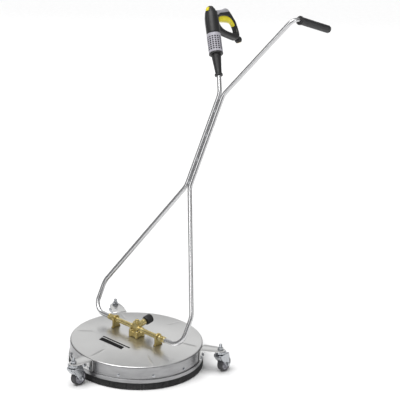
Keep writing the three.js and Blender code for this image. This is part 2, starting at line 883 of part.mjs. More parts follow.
// Soft pad that wraps over the back of the handle and a little way down both faces.
function gripPad() {
  const back = [[25, 292.5], [32, 297], [46, 303], [60, 307.5], [74, 314], [88, 321], [101, 324.5], [112, 321.5]];
  const edge = [[111.5, 316], [103, 307], [84, 300], [63, 292], [48, 287], [40, 281.5], [31, 273], [25.5, 272]];
  const pad = sidePlate([...back, ...edge], 2 * GUN_HALF_DEPTH + 3);
  return cut(pad, gunHousingClearance());
}

function gunCollar() {
  const bore = TUBE_RADIUS + 1.4; // the tube enters at a slight angle
  return turned([[bore, 4.5], [15.5, 4.5], [16.5, 6], [16.5, 10], [15, 11.7], [bore, 11.7]]);
}

function gunCone() {
  return turned([
    [6, 12],
    [12.8, 12],
    [13.2, 24],
    [18, 76],
    [19.5, 94.2],
    [6, 94.2],
  ]);
}

function gunRing() {
  return turned([
    [8, 94.5],
    [26, 94.5],
    [28.5, 96.5],
    [28.5, 100],
    [26.5, GUN_SLEEVE_START - GAP],
    [8, GUN_SLEEVE_START - GAP],
  ]);
}

function gunSleeve() {
  return turned([
    [11, GUN_SLEEVE_START],
    [27.5, GUN_SLEEVE_START],
    [28.5, GUN_SLEEVE_START + 2],
    [28, GUN_SLEEVE_END - 2],
    [26.5, GUN_SLEEVE_END],
    [11, GUN_SLEEVE_END],
  ]);
}

// Brass valve cartridge in the barrel, with its plunger facing the trigger.
function gunValve() {
  return turned([
    [4, 104],
    [VALVE_CARTRIDGE_RADIUS, 104],
    [VALVE_CARTRIDGE_RADIUS, 230],
    [6, 234],
    [6, 252],
    [4, 252],
  ]);
}

// Push button whose face follows the slope of the barrel's nose.
function gunLatch() {
  const { low, high } = LATCH;
  return sidePlate([[-8, low], [-25, low], [-25.5, low + 3], [-20, high - 2], [-18, high], [-8, high]], 13);
}

// Round hose socket at the foot of the handle.
function hoseInlet() {
  return atInlet(turned([
    [4, -13], [7.5, -13], [11.5, -9.6], [14.5, -4], [15, 0], [14.5, 4.5], [12.5, 9.5], [10, 12.5], [4, 12.5],
  ]));
}

function addGun(parent) {
  add(parent, 'gun_collar', gunCollar(), blackPlastic);
  add(parent, 'gun_cone', gunCone(), blackPlastic);
  add(parent, 'gun_ring', gunRing(), blackPlastic);
  add(parent, 'gun_sleeve', gunSleeve(), greyPlastic);
  add(parent, 'gun_shell_left', gunHalf(1), blackPlastic);
  add(parent, 'gun_shell_right', gunHalf(-1), blackPlastic);
  add(parent, 'gun_valve', gunValve(), brass);
  add(parent, 'gun_pad', gripPad(), greyRubber);
  add(parent, 'gun_trigger', gunTrigger(), yellowPlastic);
  add(parent, 'gun_trigger_pin', atPivot(rod(TRIGGER_PIN_RADIUS, -10.5, 10.5)), plainSteel);
  add(parent, 'gun_latch', gunLatch(), yellowPlastic);
  add(parent, 'gun_inlet', hoseInlet(), blackPlastic);
}

function addLance(parent) {
  const lance = new THREE.Group();
  lance.position.z = AXLE_HEIGHT;
  lance.rotation.x = -radians(LANCE_TILT);
  parent.add(lance);
  const coupling = swivelCoupling().translate(0, 0, -AXLE_HEIGHT);
  add(lance, 'lance_coupling_left', coupling, brass);
  add(lance, 'lance_coupling_right', mirrored(coupling), brass);
  add(lance, 'lance_tube_left', gripTube(), tubeSteel);
  add(lance, 'lance_tube_right', gunTube(), tubeSteel);
  add(lance, 'lance_grip', plainGrip(), blackPlastic);

  const gun = new THREE.Group();
  gun.position.set(
    -TUBE_SPACING - GUN_OFFSET * Math.sin(radians(SPLAY)),
    0,
    SPLIT_HEIGHT + GUN_OFFSET * Math.cos(radians(SPLAY)),
  );
  gun.rotation.y = -radians(GUN_SPLAY);
  lance.add(gun);
  addGun(gun);
}

// ---------- assembly ----------

const group = new THREE.Group();
addDeck(group);
CASTORS.forEach((castor) => addCastor(group, castor));
addSwivel(group);
addRotor(group);
addLance(group);

// The origin is the middle of the whole object's footprint, on the floor.
group.updateMatrixWorld(true);
const bounds = new THREE.Box3().setFromObject(group, true);
const middle = bounds.getCenter(new THREE.Vector3());
group.position.set(-middle.x, -middle.y, 0);

export default group;
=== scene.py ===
# Rotary surface cleaner: stainless deck on castors, brass swivel, two-tube lance and trigger gun.
# Pieces are drawn in millimetres in their own place on the machine, then set into the frame in metres.
import random
from math import cos, hypot, pi, radians, sin, sqrt, tan

import bmesh
import bpy
import numpy as np
from mathutils import Matrix, Quaternion, Vector, noise


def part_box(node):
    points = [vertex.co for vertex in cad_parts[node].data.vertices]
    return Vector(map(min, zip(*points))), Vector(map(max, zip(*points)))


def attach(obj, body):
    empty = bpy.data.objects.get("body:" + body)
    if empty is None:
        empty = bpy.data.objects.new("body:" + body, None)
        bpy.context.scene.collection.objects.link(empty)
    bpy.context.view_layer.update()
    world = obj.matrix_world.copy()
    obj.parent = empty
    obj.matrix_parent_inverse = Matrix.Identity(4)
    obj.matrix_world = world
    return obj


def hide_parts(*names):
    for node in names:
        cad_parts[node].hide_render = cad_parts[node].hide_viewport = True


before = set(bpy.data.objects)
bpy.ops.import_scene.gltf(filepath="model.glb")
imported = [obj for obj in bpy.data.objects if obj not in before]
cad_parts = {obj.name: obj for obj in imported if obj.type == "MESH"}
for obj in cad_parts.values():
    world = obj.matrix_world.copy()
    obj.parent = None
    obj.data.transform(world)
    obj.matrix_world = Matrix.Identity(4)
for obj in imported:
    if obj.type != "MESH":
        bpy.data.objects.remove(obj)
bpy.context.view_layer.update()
scene = bpy.context.scene
mm = 0.001
sides = ("front", "left", "right")


# where each group of pieces sits

def middleOf(node):
    low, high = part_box(node)
    return (low + high) / 2


lance = {"tilt": 26.7, "split": 971, "spacing": 9.4, "splay": 28.2}  # degrees and mm
gun = {"start": 70, "splay": 33.5}  # along the branch, and degrees
castor = {"turn": {"front": 0, "left": 8, "right": 0}, "arm": {"front": -90, "left": 30, "right": 150}}

toMetres = Matrix.Scale(mm, 4)
deckMiddle = middleOf("deck_shell")
deckMiddle.z = 0
deckPlace = Matrix.Translation(deckMiddle) @ toMetres
axle = Vector((deckMiddle.x, deckMiddle.y, middleOf("axle_pipe_left").z))
lancePlace = Matrix.Translation(axle) @ Matrix.Rotation(-radians(lance["tilt"]), 4, "X") @ toMetres
splay = radians(lance["splay"])


# the point so many mm along the branch to the gun
def alongBranch(length):
    return Vector((-lance["spacing"] - length * sin(splay), 0, lance["split"] + length * cos(splay)))


gunTurn = Matrix.Rotation(-radians(gun["splay"]), 4, "Y")
gunPlace = lancePlace @ Matrix.Translation(alongBranch(gun["start"])) @ gunTurn


def castorPlace(side):
    stem = middleOf(f"castor_stem_{side}")
    stem.z = 0
    return Matrix.Translation(stem) @ Matrix.Rotation(radians(castor["turn"][side]), 4, "Z") @ toMetres


sideways = Matrix(((0, 0, 1, 0), (1, 0, 0, 0), (0, 1, 0, 0), (0, 0, 0, 1)))  # X, Y, Z drawn to Y, Z, X
alongX = Matrix.Rotation(pi / 2, 4, "Y")


# materials

def linear(hexColour):
    channels = [int(hexColour[i:i + 2], 16) / 255 for i in (1, 3, 5)]
    return (*(c / 12.92 if c <= 0.04045 else ((c + 0.055) / 1.055) ** 2.4 for c in channels), 1)


def addNode(tree, kind, settings=None, links=None):
    node = tree.nodes.new("ShaderNode" + kind)
    for key, value in (settings or {}).items():
        if isinstance(key, str) and hasattr(node, key):
            setattr(node, key, value)
        else:
            node.inputs[key].default_value = value
    for key, socket in (links or {}).items():
        tree.links.new(socket, node.inputs[key])
    return node


# Every finish is laid out alike: a broad cloud moves it between two tones, and a fine grain between two
# roughnesses. relief is how the grain stands up: metres, and strength. A pattern is (waves, detail, space),
# with waves per metre on X, Y, Z of the machine, or per mm round and along a piece where the space is its UV.
def surface(name, metallic, tones, gloss, grain, cloud=None, relief=None, ior=None):
    material = bpy.data.materials.new(name)
    material.use_nodes = True
    tree = material.node_tree
    shader = tree.nodes["Principled BSDF"]
    shader.inputs["Base Color"].default_value = material.diffuse_color = linear(tones[1])
    shader.inputs["Metallic"].default_value = metallic
    if ior:
        shader.inputs["IOR"].default_value = ior
    coordinates = addNode(tree, "TexCoord")
    patterns = []
    for waves, detail, *space in (grain, cloud or grain):
        stretch = waves if isinstance(waves, tuple) else (waves, waves, waves)
        scaled = addNode(tree, "Mapping", {"Scale": stretch},
                         {"Vector": coordinates.outputs[space[0] if space else "Object"]})
        patterns.append(addNode(tree, "TexNoise", {"Scale": 1, "Detail": detail, "Roughness": 0.55},
                                {"Vector": scaled.outputs[0]}).outputs[0])
    fine, broad = patterns
    colour = addNode(tree, "ValToRGB", None, {"Fac": broad})
    for stop, position, tone in zip(colour.color_ramp.elements, (0.3, 0.7), tones):
        stop.position, stop.color = position, linear(tone)
    ends = {"From Min": 0.3, "From Max": 0.7, "To Min": gloss[0], "To Max": gloss[1]}
    rough = addNode(tree, "MapRange", ends, {"Value": fine})
    tree.links.new(colour.outputs[0], shader.inputs["Base Color"])
    tree.links.new(rough.outputs[0], shader.inputs["Roughness"])
    if relief:
        bump = addNode(tree, "Bump", {"Distance": relief[0], "Strength": relief[1]}, {"Height": fine})
        tree.links.new(bump.outputs["Normal"], shader.inputs["Normal"])
    return material


# hot-stamped brass, bead blasted: a fine orange-peel skin about 1 mm wide, and painted shade that darkens it
# to a deep brown in the hollows
def stampedBrass():
    material = surface("brass_stamped", 1, ("#c3ab68", "#dfcf94"), (0.24, 0.36), (900, 2), (70, 3),
                       (0.00012, 0.3))
    tree = material.node_tree
    base = tree.nodes["Principled BSDF"].inputs["Base Color"]
    # painted shade: ambient occlusion mixes the brass towards #6b5520 in its hollows and crevices
    hollows = addNode(tree, "AmbientOcclusion", {"Distance": 0.012, "samples": 8})
    unshaded = addNode(tree, "MapRange", {"From Min": 0.25, "From Max": 0.85}, {"Value": hollows.outputs["AO"]})
    hollowShade = addNode(tree, "Mix", {"data_type": "RGBA", 6: linear("#6b5520")},
                   {0: unshaded.outputs[0], 7: base.links[0].from_socket})
    tree.links.new(hollowShade.outputs[2], base)
    return material


# grip rubber: a fine skin over moulded cross ribs that are too fine to cut one by one
def gripRubber():
    material = surface("rubber_grip", 0, ("#171718", "#232324"), (0.44, 0.6), (1100, 2), None,
                       (0.0002, 0.5), 1.52)
    tree = material.node_tree
    height = tree.nodes["Principled BSDF"].inputs["Normal"].links[0].from_node.inputs["Height"]
    flat = addNode(tree, "TexCoord")
    bands = {"wave_type": "BANDS", "bands_direction": "Y", "Scale": 0.16, "Distortion": 0.2}
    ribs = addNode(tree, "TexWave", bands, {"Vector": flat.outputs["UV"]})
    both = addNode(tree, "Math", {"operation": "MULTIPLY_ADD", 1: 0.4},
                   {0: height.links[0].from_socket, 2: ribs.outputs["Fac"]})
    tree.links.new(both.outputs[0], height)
    return material


# spark-eroded mould skin: even, fine and slightly broken highlights
def moulded(name, tones, rough, ior=1.53, grit=1300, height=0.00006):
    return surface(name, 0, tones, (rough - 0.07, rough + 0.08), (grit, 2), (45, 2), (height, 0.5), ior)


print("materials")
finish = {
    # 1.4301 sheet, belt ground to a satin: long scratches that blur what it mirrors along one line, drawn
    # 2 mm apart because the real ones are too fine to show
    "sheet": surface("stainless_satin_sheet", 1, ("#c9c9c8", "#d3d3d2"), (0.29, 0.35), ((14, 420, 14), 4),
                     (5, 2), (0.00003, 0.08)),
    # the same sheet rolled into the skirt: the grinding lines run round it, so it looks banded. Its tones are
    # darker than the top's: painted shade on the side wall
    "skirt": surface("stainless_satin_skirt_painted_shade", 1, ("#8f8f90", "#a6a6a7"), (0.24, 0.38),
                     ((0.012, 1.1, 1), 5, "UV"), ((0.01, 0.03, 1), 2, "UV"), (0.00006, 0.2)),
    # drawn 18 mm tube, polished along its length: a white line with soft grey sides
    "tube": surface("stainless_polished_tube", 1, ("#c6c6c7", "#cfcfd0"), (0.22, 0.27),
                    ((0.9, 0.006, 1), 3, "UV"), None, (0.00002, 0.05)),
    # pressed steel, bright zinc plated: slightly cloudy with a cool cast
    "zinc": surface("steel_zinc_plated", 1, ("#9fa2a6", "#bfc1c4"), (0.17, 0.3), (260, 3), None,
                    (0.0001, 0.25)),
    # ground shaft steel, duller and finely ringed
    "ground": surface("steel_ground", 1, ("#8d8f92", "#aaacae"), (0.28, 0.46), ((30, 30, 1400), 3)),
    # CW614N bar turned on a lathe: fine rings that catch a narrow pale highlight
    "turnedBrass": surface("brass_turned", 1, ("#cdb878", "#e5d7a2"), (0.16, 0.3), ((0.02, 2.2, 1), 3, "UV"),
                           (60, 3), (0.00005, 0.4)),
    "stampedBrass": stampedBrass(),
    # 0.5 mm black nylon monofilament: dark, with a faint sheen along each strand
    "bristle": surface("nylon_bristle", 0, ("#101011", "#303031"), (0.38, 0.62), ((1500, 1500, 60), 2),
                       ior=1.53),
    # vulcanised rubber: dull grey, with a coarse skin
    "tyre": moulded("rubber_tyre", ("#38383a", "#444447"), 0.68, 1.52, 700, 0.0001),
    # moulded nylon: a pale cool grey and a sharp near-black, both with a soft sheen
    "rim": moulded("nylon_grey_rim", ("#9d9ca4", "#b0afb6"), 0.42),
    "black": moulded("nylon_black_moulded", ("#121213", "#1b1b1c"), 0.44),
    "grip": gripRubber(),
    "grey": moulded("nylon_grey_moulded", ("#a5a3ab", "#b2b0b8"), 0.5),
    # soft rubber moulded over the handle: the same grey, but flat
    "softGrey": moulded("rubber_grey_overmould", ("#98979c", "#a8a7ac"), 0.62, 1.52, 900, 0.0001),
    # coloured nylon, the smoothest of the mouldings, so its edges shine
    "yellow": moulded("nylon_yellow_moulded", ("#e2d31f", "#f0e23a"), 0.34),
    # baked screen ink: black and almost without a shine
    "label": moulded("ink_black_label", ("#0a0a0b", "#121213"), 0.8, 1.3, 400, 0.00002),
}


# shapes

# Points are (a, b) or (a, b, corner radius).
def rounded(points, closed=True, steps=5):
    line = []
    for i, point in enumerate(points):
        here = Vector(point[:2])
        radius = point[2] if len(point) > 2 else 0
        atEnd = not closed and i in (0, len(points) - 1)
        before = Vector(points[i - 1][:2]) - here
        after = Vector(points[(i + 1) % len(points)][:2]) - here
        if not radius or atEnd or before.angle(after) > radians(179):
            line.append(here)
            continue
        half = before.angle(after) / 2
        reach = min(radius / tan(half), 0.49 * before.length, 0.49 * after.length)
        radius = reach * tan(half)
        before.normalize()
        after.normalize()
        centre = here + (before + after).normalized() * (radius / sin(half))
        first = here + before * reach - centre
        last = here + after * reach - centre
        for step in range(steps + 1):
            spoke = first.lerp(last, step / steps)
            line.append(centre + spoke.normalized() * radius)
    return line


def newMesh():
    bm = bmesh.new()
    bm.loops.layers.uv.new("surface")
    return bm


def quad(bm, corners, flat):
    face = bm.faces.new(corners)
    layer = bm.loops.layers.uv.active
    for loop, place in zip(face.loops, flat):
        loop[layer].uv = place
    return face


# Turns an outline of (radius, height, corner radius) about Z. It is closed unless it starts on the axis.
# swell(angle, radius, height) adds to the radius. Its UV is in mm: round, and along the outline.
def turned(outline, count=72, swell=None, steps=5):
    bm = newMesh()
    onAxis = outline[0][0] == 0
    line = rounded(outline, not onAxis, steps)
    widest = max(point.x for point in line)
    rings = []
    for point in line:
        if point.x < 1e-6:
            rings.append([bm.verts.new((0, 0, point.y))])
            continue
        ring = []
        for k in range(count):
            angle = 2 * pi * k / count
            radius = point.x + (swell(angle, point.x, point.y) if swell else 0)
            ring.append(bm.verts.new((radius * cos(angle), radius * sin(angle), point.y)))
        rings.append(ring)
    along = 0
    for i in range(len(line) - (1 if onAxis else 0)):
        near, far = rings[i], rings[(i + 1) % len(rings)]
        nextAlong = along + (line[(i + 1) % len(line)] - line[i]).length
        for k in range(count):
            u, v = 2 * pi * widest * k / count, 2 * pi * widest * (k + 1) / count
            j = (k + 1) % count
            if len(near) == 1:
                quad(bm, (near[0], far[k], far[j]), ((u, along), (u, nextAlong), (v, nextAlong)))
            elif len(far) == 1:
                quad(bm, (near[k], far[0], near[j]), ((u, along), (u, nextAlong), (v, along)))
            else:
                quad(bm, (near[k], far[k], far[j], near[j]),
                     ((u, along), (u, nextAlong), (v, nextAlong), (v, along)))
        along = nextAlong
    return bm


# Corners of straight runs with a bend of each radius between them.
def bent(corners, radii, stepAngle=radians(4)):
    corners = [Vector(corner) for corner in corners]
    points = [corners[0]]
    for before, here, after, radius in zip(corners, corners[1:], corners[2:], radii):
        arriving, leaving = (here - before).normalized(), (after - here).normalized()
        angle = arriving.angle(leaving)
        start = here - arriving * radius * tan(angle / 2)
        turnAxis = arriving.cross(leaving).normalized()
        centre = start + turnAxis.cross(arriving) * radius
        steps = max(3, round(angle / stepAngle))
        for step in range(steps + 1):
            turn = Quaternion(turnAxis, angle * step / steps)
            points.append(centre + turn @ (start - centre))
    points.append(corners[-1])
    return points


# A round section carried along points. radiusAt(distance) gives its radius. UV is in mm: round, along.
def swept(points, radiusAt, count=40):
    bm = newMesh()
    tangents = []
    for i in range(len(points)):
        ahead, behind = points[min(i + 1, len(points) - 1)], points[max(i - 1, 0)]
        tangents.append((ahead - behind).normalized())
    across = tangents[0].orthogonal().normalized()
    along, rings, distances = 0, [], []
    for i, point in enumerate(points):
        if i:
            along += (point - points[i - 1]).length
            across = tangents[i - 1].rotation_difference(tangents[i]) @ across
        across = (across - tangents[i] * across.dot(tangents[i])).normalized()
        other = tangents[i].cross(across)
        radius = radiusAt(along)
        rings.append([bm.verts.new(point + radius * (cos(a) * across + sin(a) * other))
                      for a in (2 * pi * k / count for k in range(count))])
        distances.append(along)
    girth = 2 * pi * radiusAt(0)
    for i in range(len(points) - 1):
        for k in range(count):
            j = (k + 1) % count
            u, v = girth * k / count, girth * (k + 1) / count
            quad(bm, (rings[i][k], rings[i][j], rings[i + 1][j], rings[i + 1][k]),
                 ((u, distances[i]), (v, distances[i]), (v, distances[i + 1]), (u, distances[i + 1])))
    bm.faces.new(rings[0][::-1])
    bm.faces.new(rings[-1])
    return bm


# A flat outline thickened along Z, with its edges broken.
def prism(outline, low, high, edge=0.5, segments=2):
    bm = newMesh()
    base = bm.faces.new([bm.verts.new((point.x, point.y, low)) for point in rounded(outline)])
    raised = bmesh.ops.extrude_face_region(bm, geom=[base])
    moved = [item for item in raised["geom"] if isinstance(item, bmesh.types.BMVert)]
    bmesh.ops.translate(bm, verts=moved, vec=(0, 0, high - low))
    bmesh.ops.recalc_face_normals(bm, faces=bm.faces)
    edges = [e for e in bm.edges if len(e.link_faces) == 2 and e.calc_face_angle(0) > radians(35)]
    bmesh.ops.bevel(bm, geom=edges, offset=edge, segments=segments, profile=0.5, affect="EDGES",
                    clamp_overlap=True)
    return bm


# Hex bar with the corners of one or both ends turned away to a cone, and an optional bore.
def hexBar(flats, low, high, bore=0, bothEnds=False, count=48, depth=0):
    bm = newMesh()
    faceCircle = 0.475 * flats

    def ring(radiusAt, height, sink=0):  # sink follows the cone off the flat end
        made = []
        for k in range(count):
            angle = 2 * pi * k / count
            radius = radiusAt if radiusAt else flats / 2 / cos((angle + pi / 6) % (pi / 3) - pi / 6)
            drop = sink * max(0, radius - faceCircle) * tan(radians(30))
            made.append(bm.verts.new((radius * cos(angle), radius * sin(angle), height - drop)))
        return made

    rings = [ring(None, low, -1 if bothEnds else 0), ring(None, high, 1), ring(faceCircle, high)]
    if bothEnds:
        rings.insert(0, ring(faceCircle, low))
    floor = high - depth if depth else low
    if bore:
        rings += [ring(bore, high), ring(bore, floor)]
    through = bore and not depth
    for near, far in zip(rings, rings[1:] + (rings[:1] if through else [])):
        for k in range(count):
            bm.faces.new((near[k], near[(k + 1) % count], far[(k + 1) % count], far[k]))
    if not through:
        bm.faces.new(rings[-1])
        bm.faces.new(rings[0][::-1])
    return bm


# Joins shapes, each given alone or with the matrix that places it.
def combined(*parts):
    whole = newMesh()
    for part in parts:
        shape, where = part if isinstance(part, tuple) else (part, Matrix.Identity(4))
        mesh = bpy.data.meshes.new("part")
        shape.to_mesh(mesh)
        shape.free()
        mesh.transform(where)
        whole.from_mesh(mesh)
        bpy.data.meshes.remove(mesh)
    return whole


# Signed distances in mm, for castings and mouldings whose shapes run into each other.

def outlineDistance(points, a, b):
    nearest, crossings = None, 0
    for (ax, ay), (bx, by) in zip(points, points[1:] + points[:1]):
        dx, dy = bx - ax, by - ay
        share = np.clip(((a - ax) * dx + (b - ay) * dy) / (dx * dx + dy * dy), 0, 1)
        gap = (a - ax - share * dx) ** 2 + (b - ay - share * dy) ** 2
        nearest = gap if nearest is None else np.minimum(nearest, gap)
        if ay != by:
            crossings = crossings + (((ay > b) != (by > b)) & (a < dx * (b - ay) / dy + ax))
    return np.where(crossings % 2 == 1, -1, 1) * np.sqrt(nearest)


def thickened(flat, across, radius):
    a, b = flat + radius, across + radius
    return np.minimum(np.maximum(a, b), 0) + np.sqrt(np.maximum(a, 0) ** 2 + np.maximum(b, 0) ** 2) - radius


def melt(first, second, blendWidth):
    share = np.clip(0.5 + 0.5 * (second - first) / blendWidth, 0, 1)
    return second * (1 - share) + first * share - blendWidth * share * (1 - share)


def carve(body, tool, blendWidth):
    return -melt(-body, tool, blendWidth)


# The skin of the region where field(x, y, z) is below zero, one point in each cell that it crosses.
def skinOf(field, low, high, step):
    axes = [np.arange(a, b + step, step) for a, b in zip(low, high)]
    value = field(*np.meshgrid(*axes, indexing="ij", sparse=True))
    value = np.broadcast_to(value, [len(axis) for axis in axes])
    cells = np.array(value.shape) - 1
    total, hits = np.zeros((*cells, 3)), np.zeros(cells)
    walls = []
    for axis in range(3):
        u, v = [other for other in range(3) if other != axis]
        near = value[tuple(slice(0, -1) if i == axis else slice(None) for i in range(3))]
        far = value[tuple(slice(1, None) if i == axis else slice(None) for i in range(3))]
        crosses = (near < 0) != (far < 0)
        share = np.where(crosses, near / np.where(crosses, near - far, 1), 0)
        for du in (0, 1):
            for dv in (0, 1):
                window = [slice(None)] * 3
                window[u], window[v] = slice(du, du + cells[u]), slice(dv, dv + cells[v])
                hit = crosses[tuple(window)]
                hits += hit
                total[..., axis] += share[tuple(window)]
                total[..., u] += du * hit
                total[..., v] += dv * hit
        spots = np.argwhere(crosses)
        su, sv = spots[:, u], spots[:, v]
        spots = spots[(su > 0) & (sv > 0) & (su < cells[u]) & (sv < cells[v])]
        walls.append((axis, u, v, spots, near[tuple(spots.T)] < 0))
    used = hits > 0
    number = np.cumsum(used.ravel()).reshape(used.shape) - 1
    places = (np.argwhere(used) + total[used] / hits[used][:, None]) * step
    places += np.array([axis[0] for axis in axes])
    faces = []
    for axis, u, v, spots, outward in walls:
        corners = []
        for du, dv in ((1, 1), (0, 1), (0, 0), (1, 0)):
            cell = spots.copy()
            cell[:, u] -= du
            cell[:, v] -= dv
            corners.append(number[tuple(cell.T)])
        block = np.stack(corners, 1)
        flip = outward if axis == 1 else ~outward
        block[flip] = block[flip][:, ::-1]
        faces += block.tolist()
    mesh = bpy.data.meshes.new("skin")
    mesh.from_pydata(places.tolist(), [], faces)
    bm = newMesh()
    bm.from_mesh(mesh)
    bpy.data.meshes.remove(mesh)
    return bm


# Sets a finished shape into the machine as one piece. finishes names one finish or more, split by a space.
def place(name, bm, where, body, finishes, stands=None, sharp=32, slot=None):
    bmesh.ops.recalc_face_normals(bm, faces=bm.faces)
    mesh = bpy.data.meshes.new(name)
    bm.to_mesh(mesh)
    bm.free()
    mesh.transform(where)
    for used in finishes.split():
        mesh.materials.append(finish[used])
    mesh.shade_smooth()
    mesh.set_sharp_from_angle(angle=radians(sharp))
    piece = bpy.data.objects.new(name, mesh)
    scene.collection.objects.link(piece)
    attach(piece, body)
    if stands:
        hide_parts(stands)


# deck

deck = {
    "radius": 260, "sheet": 2, "rim": 95, "roll": 6, "crown": 108, "flat": 125, "shaftHole": 22,
    "skirtEnd": 48.5, "hem": 1.2,
    "creases": 6, "creaseFirst": 30, "creaseFrom": 168, "creaseTo": 249, "creaseDepth": 1.5,
    "creaseWidth": 5.5,
    "screws": 12, "screwHeight": 57, "screwFlats": 8,
}  # mm, and degrees


def crownHeight(radius):
    if radius < deck["flat"]:
        return deck["crown"]
    share = (radius - deck["flat"]) / (deck["radius"] - deck["roll"] - deck["flat"])
    return deck["crown"] - (deck["crown"] - deck["rim"]) * share ** 1.35


# How far a pressed crease lowers the sheet: a V that fades out at both ends.
def creaseDrop(radius, angle):
    pitch = 2 * pi / deck["creases"]
    off = (angle - radians(deck["creaseFirst"]) + pitch / 2) % pitch - pitch / 2
    across = abs(radius * sin(off)) / deck["creaseWidth"]
    along = (radius - deck["creaseFrom"]) / (deck["creaseTo"] - deck["creaseFrom"])
    if across > 1 or not 0 < along < 1:
        return 0
    return deck["creaseDepth"] * (1 - across) * min(1, 4 * along, 5 * (1 - along))


def deckPan():
    bm = newMesh()
    pitch = 360 / deck["creases"]
    fine = [-3, -1.9, -1.4, -0.95, -0.5, -0.2, 0, 0.2, 0.5, 0.95, 1.4, 1.9, 3]
    angles = []
    for k in range(deck["creases"]):
        middle = deck["creaseFirst"] + pitch * k
        angles += [middle + off for off in fine] + [middle + off for off in np.arange(5, pitch - 4.9, 2)]
    angles = [radians(angle) for angle in angles]
    inner = deck["radius"] - deck["roll"]
    radii = [deck["shaftHole"], 60, 100, deck["flat"], 133, 141, 150, 160, deck["creaseFrom"]]
    radii += list(np.linspace(deck["creaseFrom"], deck["creaseTo"], 21)[1:]) + [251.5, inner]
    outline = [(radius, crownHeight(radius), True) for radius in radii]
    for turn in range(12, 91, 13):
        a = radians(turn)
        outline.append((inner + deck["roll"] * sin(a), deck["rim"] - deck["roll"] * (1 - cos(a)), turn < 40))
    wall, end = deck["radius"] - deck["sheet"], deck["skirtEnd"]
    outline += [(deck["radius"], z, False) for z in (88, 74, 60, 52, end + deck["hem"])]
    outline += [(deck["radius"] - 0.5, end, False), (wall + 0.5, end, False)]
    outline += [(wall, z, False) for z in (end + 1, 70, deck["rim"] - deck["roll"])]
    outline += [(inner - 1, deck["rim"] - deck["sheet"], True)]
    outline += [(radius, crownHeight(radius) - deck["sheet"], True) for radius in radii[-2::-1]]
    rings = []
    for radius, height, onTop in outline:
        rings.append([bm.verts.new((radius * cos(a), radius * sin(a), height - onTop * creaseDrop(radius, a)))
                      for a in angles])
    along = 0
    for i, (near, far) in enumerate(zip(rings, rings[1:] + rings[:1])):
        first, second = outline[i], outline[(i + 1) % len(outline)]
        nextAlong = along + hypot(second[0] - first[0], second[1] - first[1])
        for k in range(len(angles)):
            j = (k + 1) % len(angles)
            u = angles[k] * deck["radius"]
            v = (angles[j] + (2 * pi if j == 0 else 0)) * deck["radius"]
            face = quad(bm, (near[k], far[k], far[j], near[j]),
                        ((u, along), (u, nextAlong), (v, nextAlong), (v, along)))
            # faces off the top take the skirt finish, whose darker tones are painted shade
            face.material_index = 0 if first[2] and second[2] else 1
        along = nextAlong
    return bm


def skirtScrews():
    parts = []
    out = Matrix.Translation((deck["radius"] + 0.05, 0, deck["screwHeight"])) @ alongX
    for k in range(deck["screws"]):
        where = Matrix.Rotation(2 * pi * k / deck["screws"], 4, "Z") @ out
        turn = Matrix.Rotation(radians(37 * k), 4, "Z")  # no two screws stop at the same angle
        parts.append((turned([(0, 0), (6.2, 0), (6.2, 0.9, 0.3), (4, 1.1), (0, 1.1)], 32), where))
        parts.append((hexBar(deck["screwFlats"], 0.9, 4.6, 2.2, depth=1), where @ turn))
    return combined(*parts)


# The plain black label lies flat across the crown, ahead of the swivel: a thin bar over a broad one.
label = {"bars": ((-86, 62, -103, -95.5), (-84, 40, -131, -109)), "slant": -0.25, "lift": 0.4}


def deckLabel():
    bm = newMesh()
    steps = 24
    for left, right, low, high in label["bars"]:
        rows = []
        for y in (low, high):
            lean = label["slant"] * (y + 100)
            points = [(left + (right - left) * step / steps + lean, y) for step in range(steps + 1)]
            rows.append([bm.verts.new((x, y, crownHeight(hypot(x, y)) + label["lift"])) for x, y in points])
        for k in range(steps):
            bm.faces.new((rows[0][k], rows[0][k + 1], rows[1][k + 1], rows[1][k]))
    bmesh.ops.recalc_face_normals(bm, faces=bm.faces)
    bmesh.ops.solidify(bm, geom=bm.faces[:], thickness=0.2)
    return bm


carrier = {"radius": 262, "nest": 257.5, "lipTop": 43, "low": 27.5, "inner": 240, "top": 72, "sheet": 3}
brush = {"outer": 263.4, "inner": 244, "top": 27.2, "rows": 5, "perRow": 620, "strands": 3, "thick": 0.62,
         "lean": 1.3}


def brushCarrier():
    c = carrier
    lining, ledge = c["nest"] - c["sheet"], c["low"] + c["sheet"]
    return turned([(c["inner"], c["low"]), (c["radius"], c["low"], 1), (c["radius"], c["lipTop"], 1.4),
                   (c["nest"], c["lipTop"]), (c["nest"], c["top"], 1), (lining, c["top"], 1),
                   (lining, ledge, 2), (c["inner"], ledge, 1)], 240)


# Each tuft is a few tapering square strands that lean a little their own way.
def brushStrands():
    b = brush
    dice = random.Random(7)
    bm = newMesh()
    for row in range(b["rows"]):
        radius = b["inner"] + 1 + (b["outer"] - b["inner"] - 1.6) * row / (b["rows"] - 1)
        for tuft in range(b["perRow"]):
            angle = 2 * pi * (tuft + 0.5 * (row % 2)) / b["perRow"]
            for strand in range(b["strands"]):
                a = angle + dice.uniform(-0.5, 0.5) * 2 * pi / b["perRow"]
                r = radius + dice.uniform(-1.2, 0.5)
                outward, along = Vector((cos(a), sin(a), 0)), Vector((-sin(a), cos(a), 0))
                root = Vector((r * cos(a), r * sin(a), b["top"]))
                tip = root + outward * dice.uniform(-0.6, 1) * b["lean"] + along * dice.uniform(-1.2, 1.2)
                tip.z = dice.uniform(0.1, 1.6)
                reach = hypot(tip.x, tip.y)
                if reach > b["outer"]:
                    tip.x, tip.y = tip.x * b["outer"] / reach, tip.y * b["outer"] / reach
                high, low = ([bm.verts.new(middle + half * (outward * c + along * s))
                              for c, s in ((1, 0), (-0.5, 0.87), (-0.5, -0.87))]
                             for middle, half in ((root, b["thick"] / 2), (tip, 0.35 * b["thick"])))
                for k in range(3):
                    j = (k + 1) % 3
                    bm.faces.new((high[k], high[j], low[j], low[k]))
                bm.faces.new(low[::-1])
                bm.faces.new(high)
    return bm


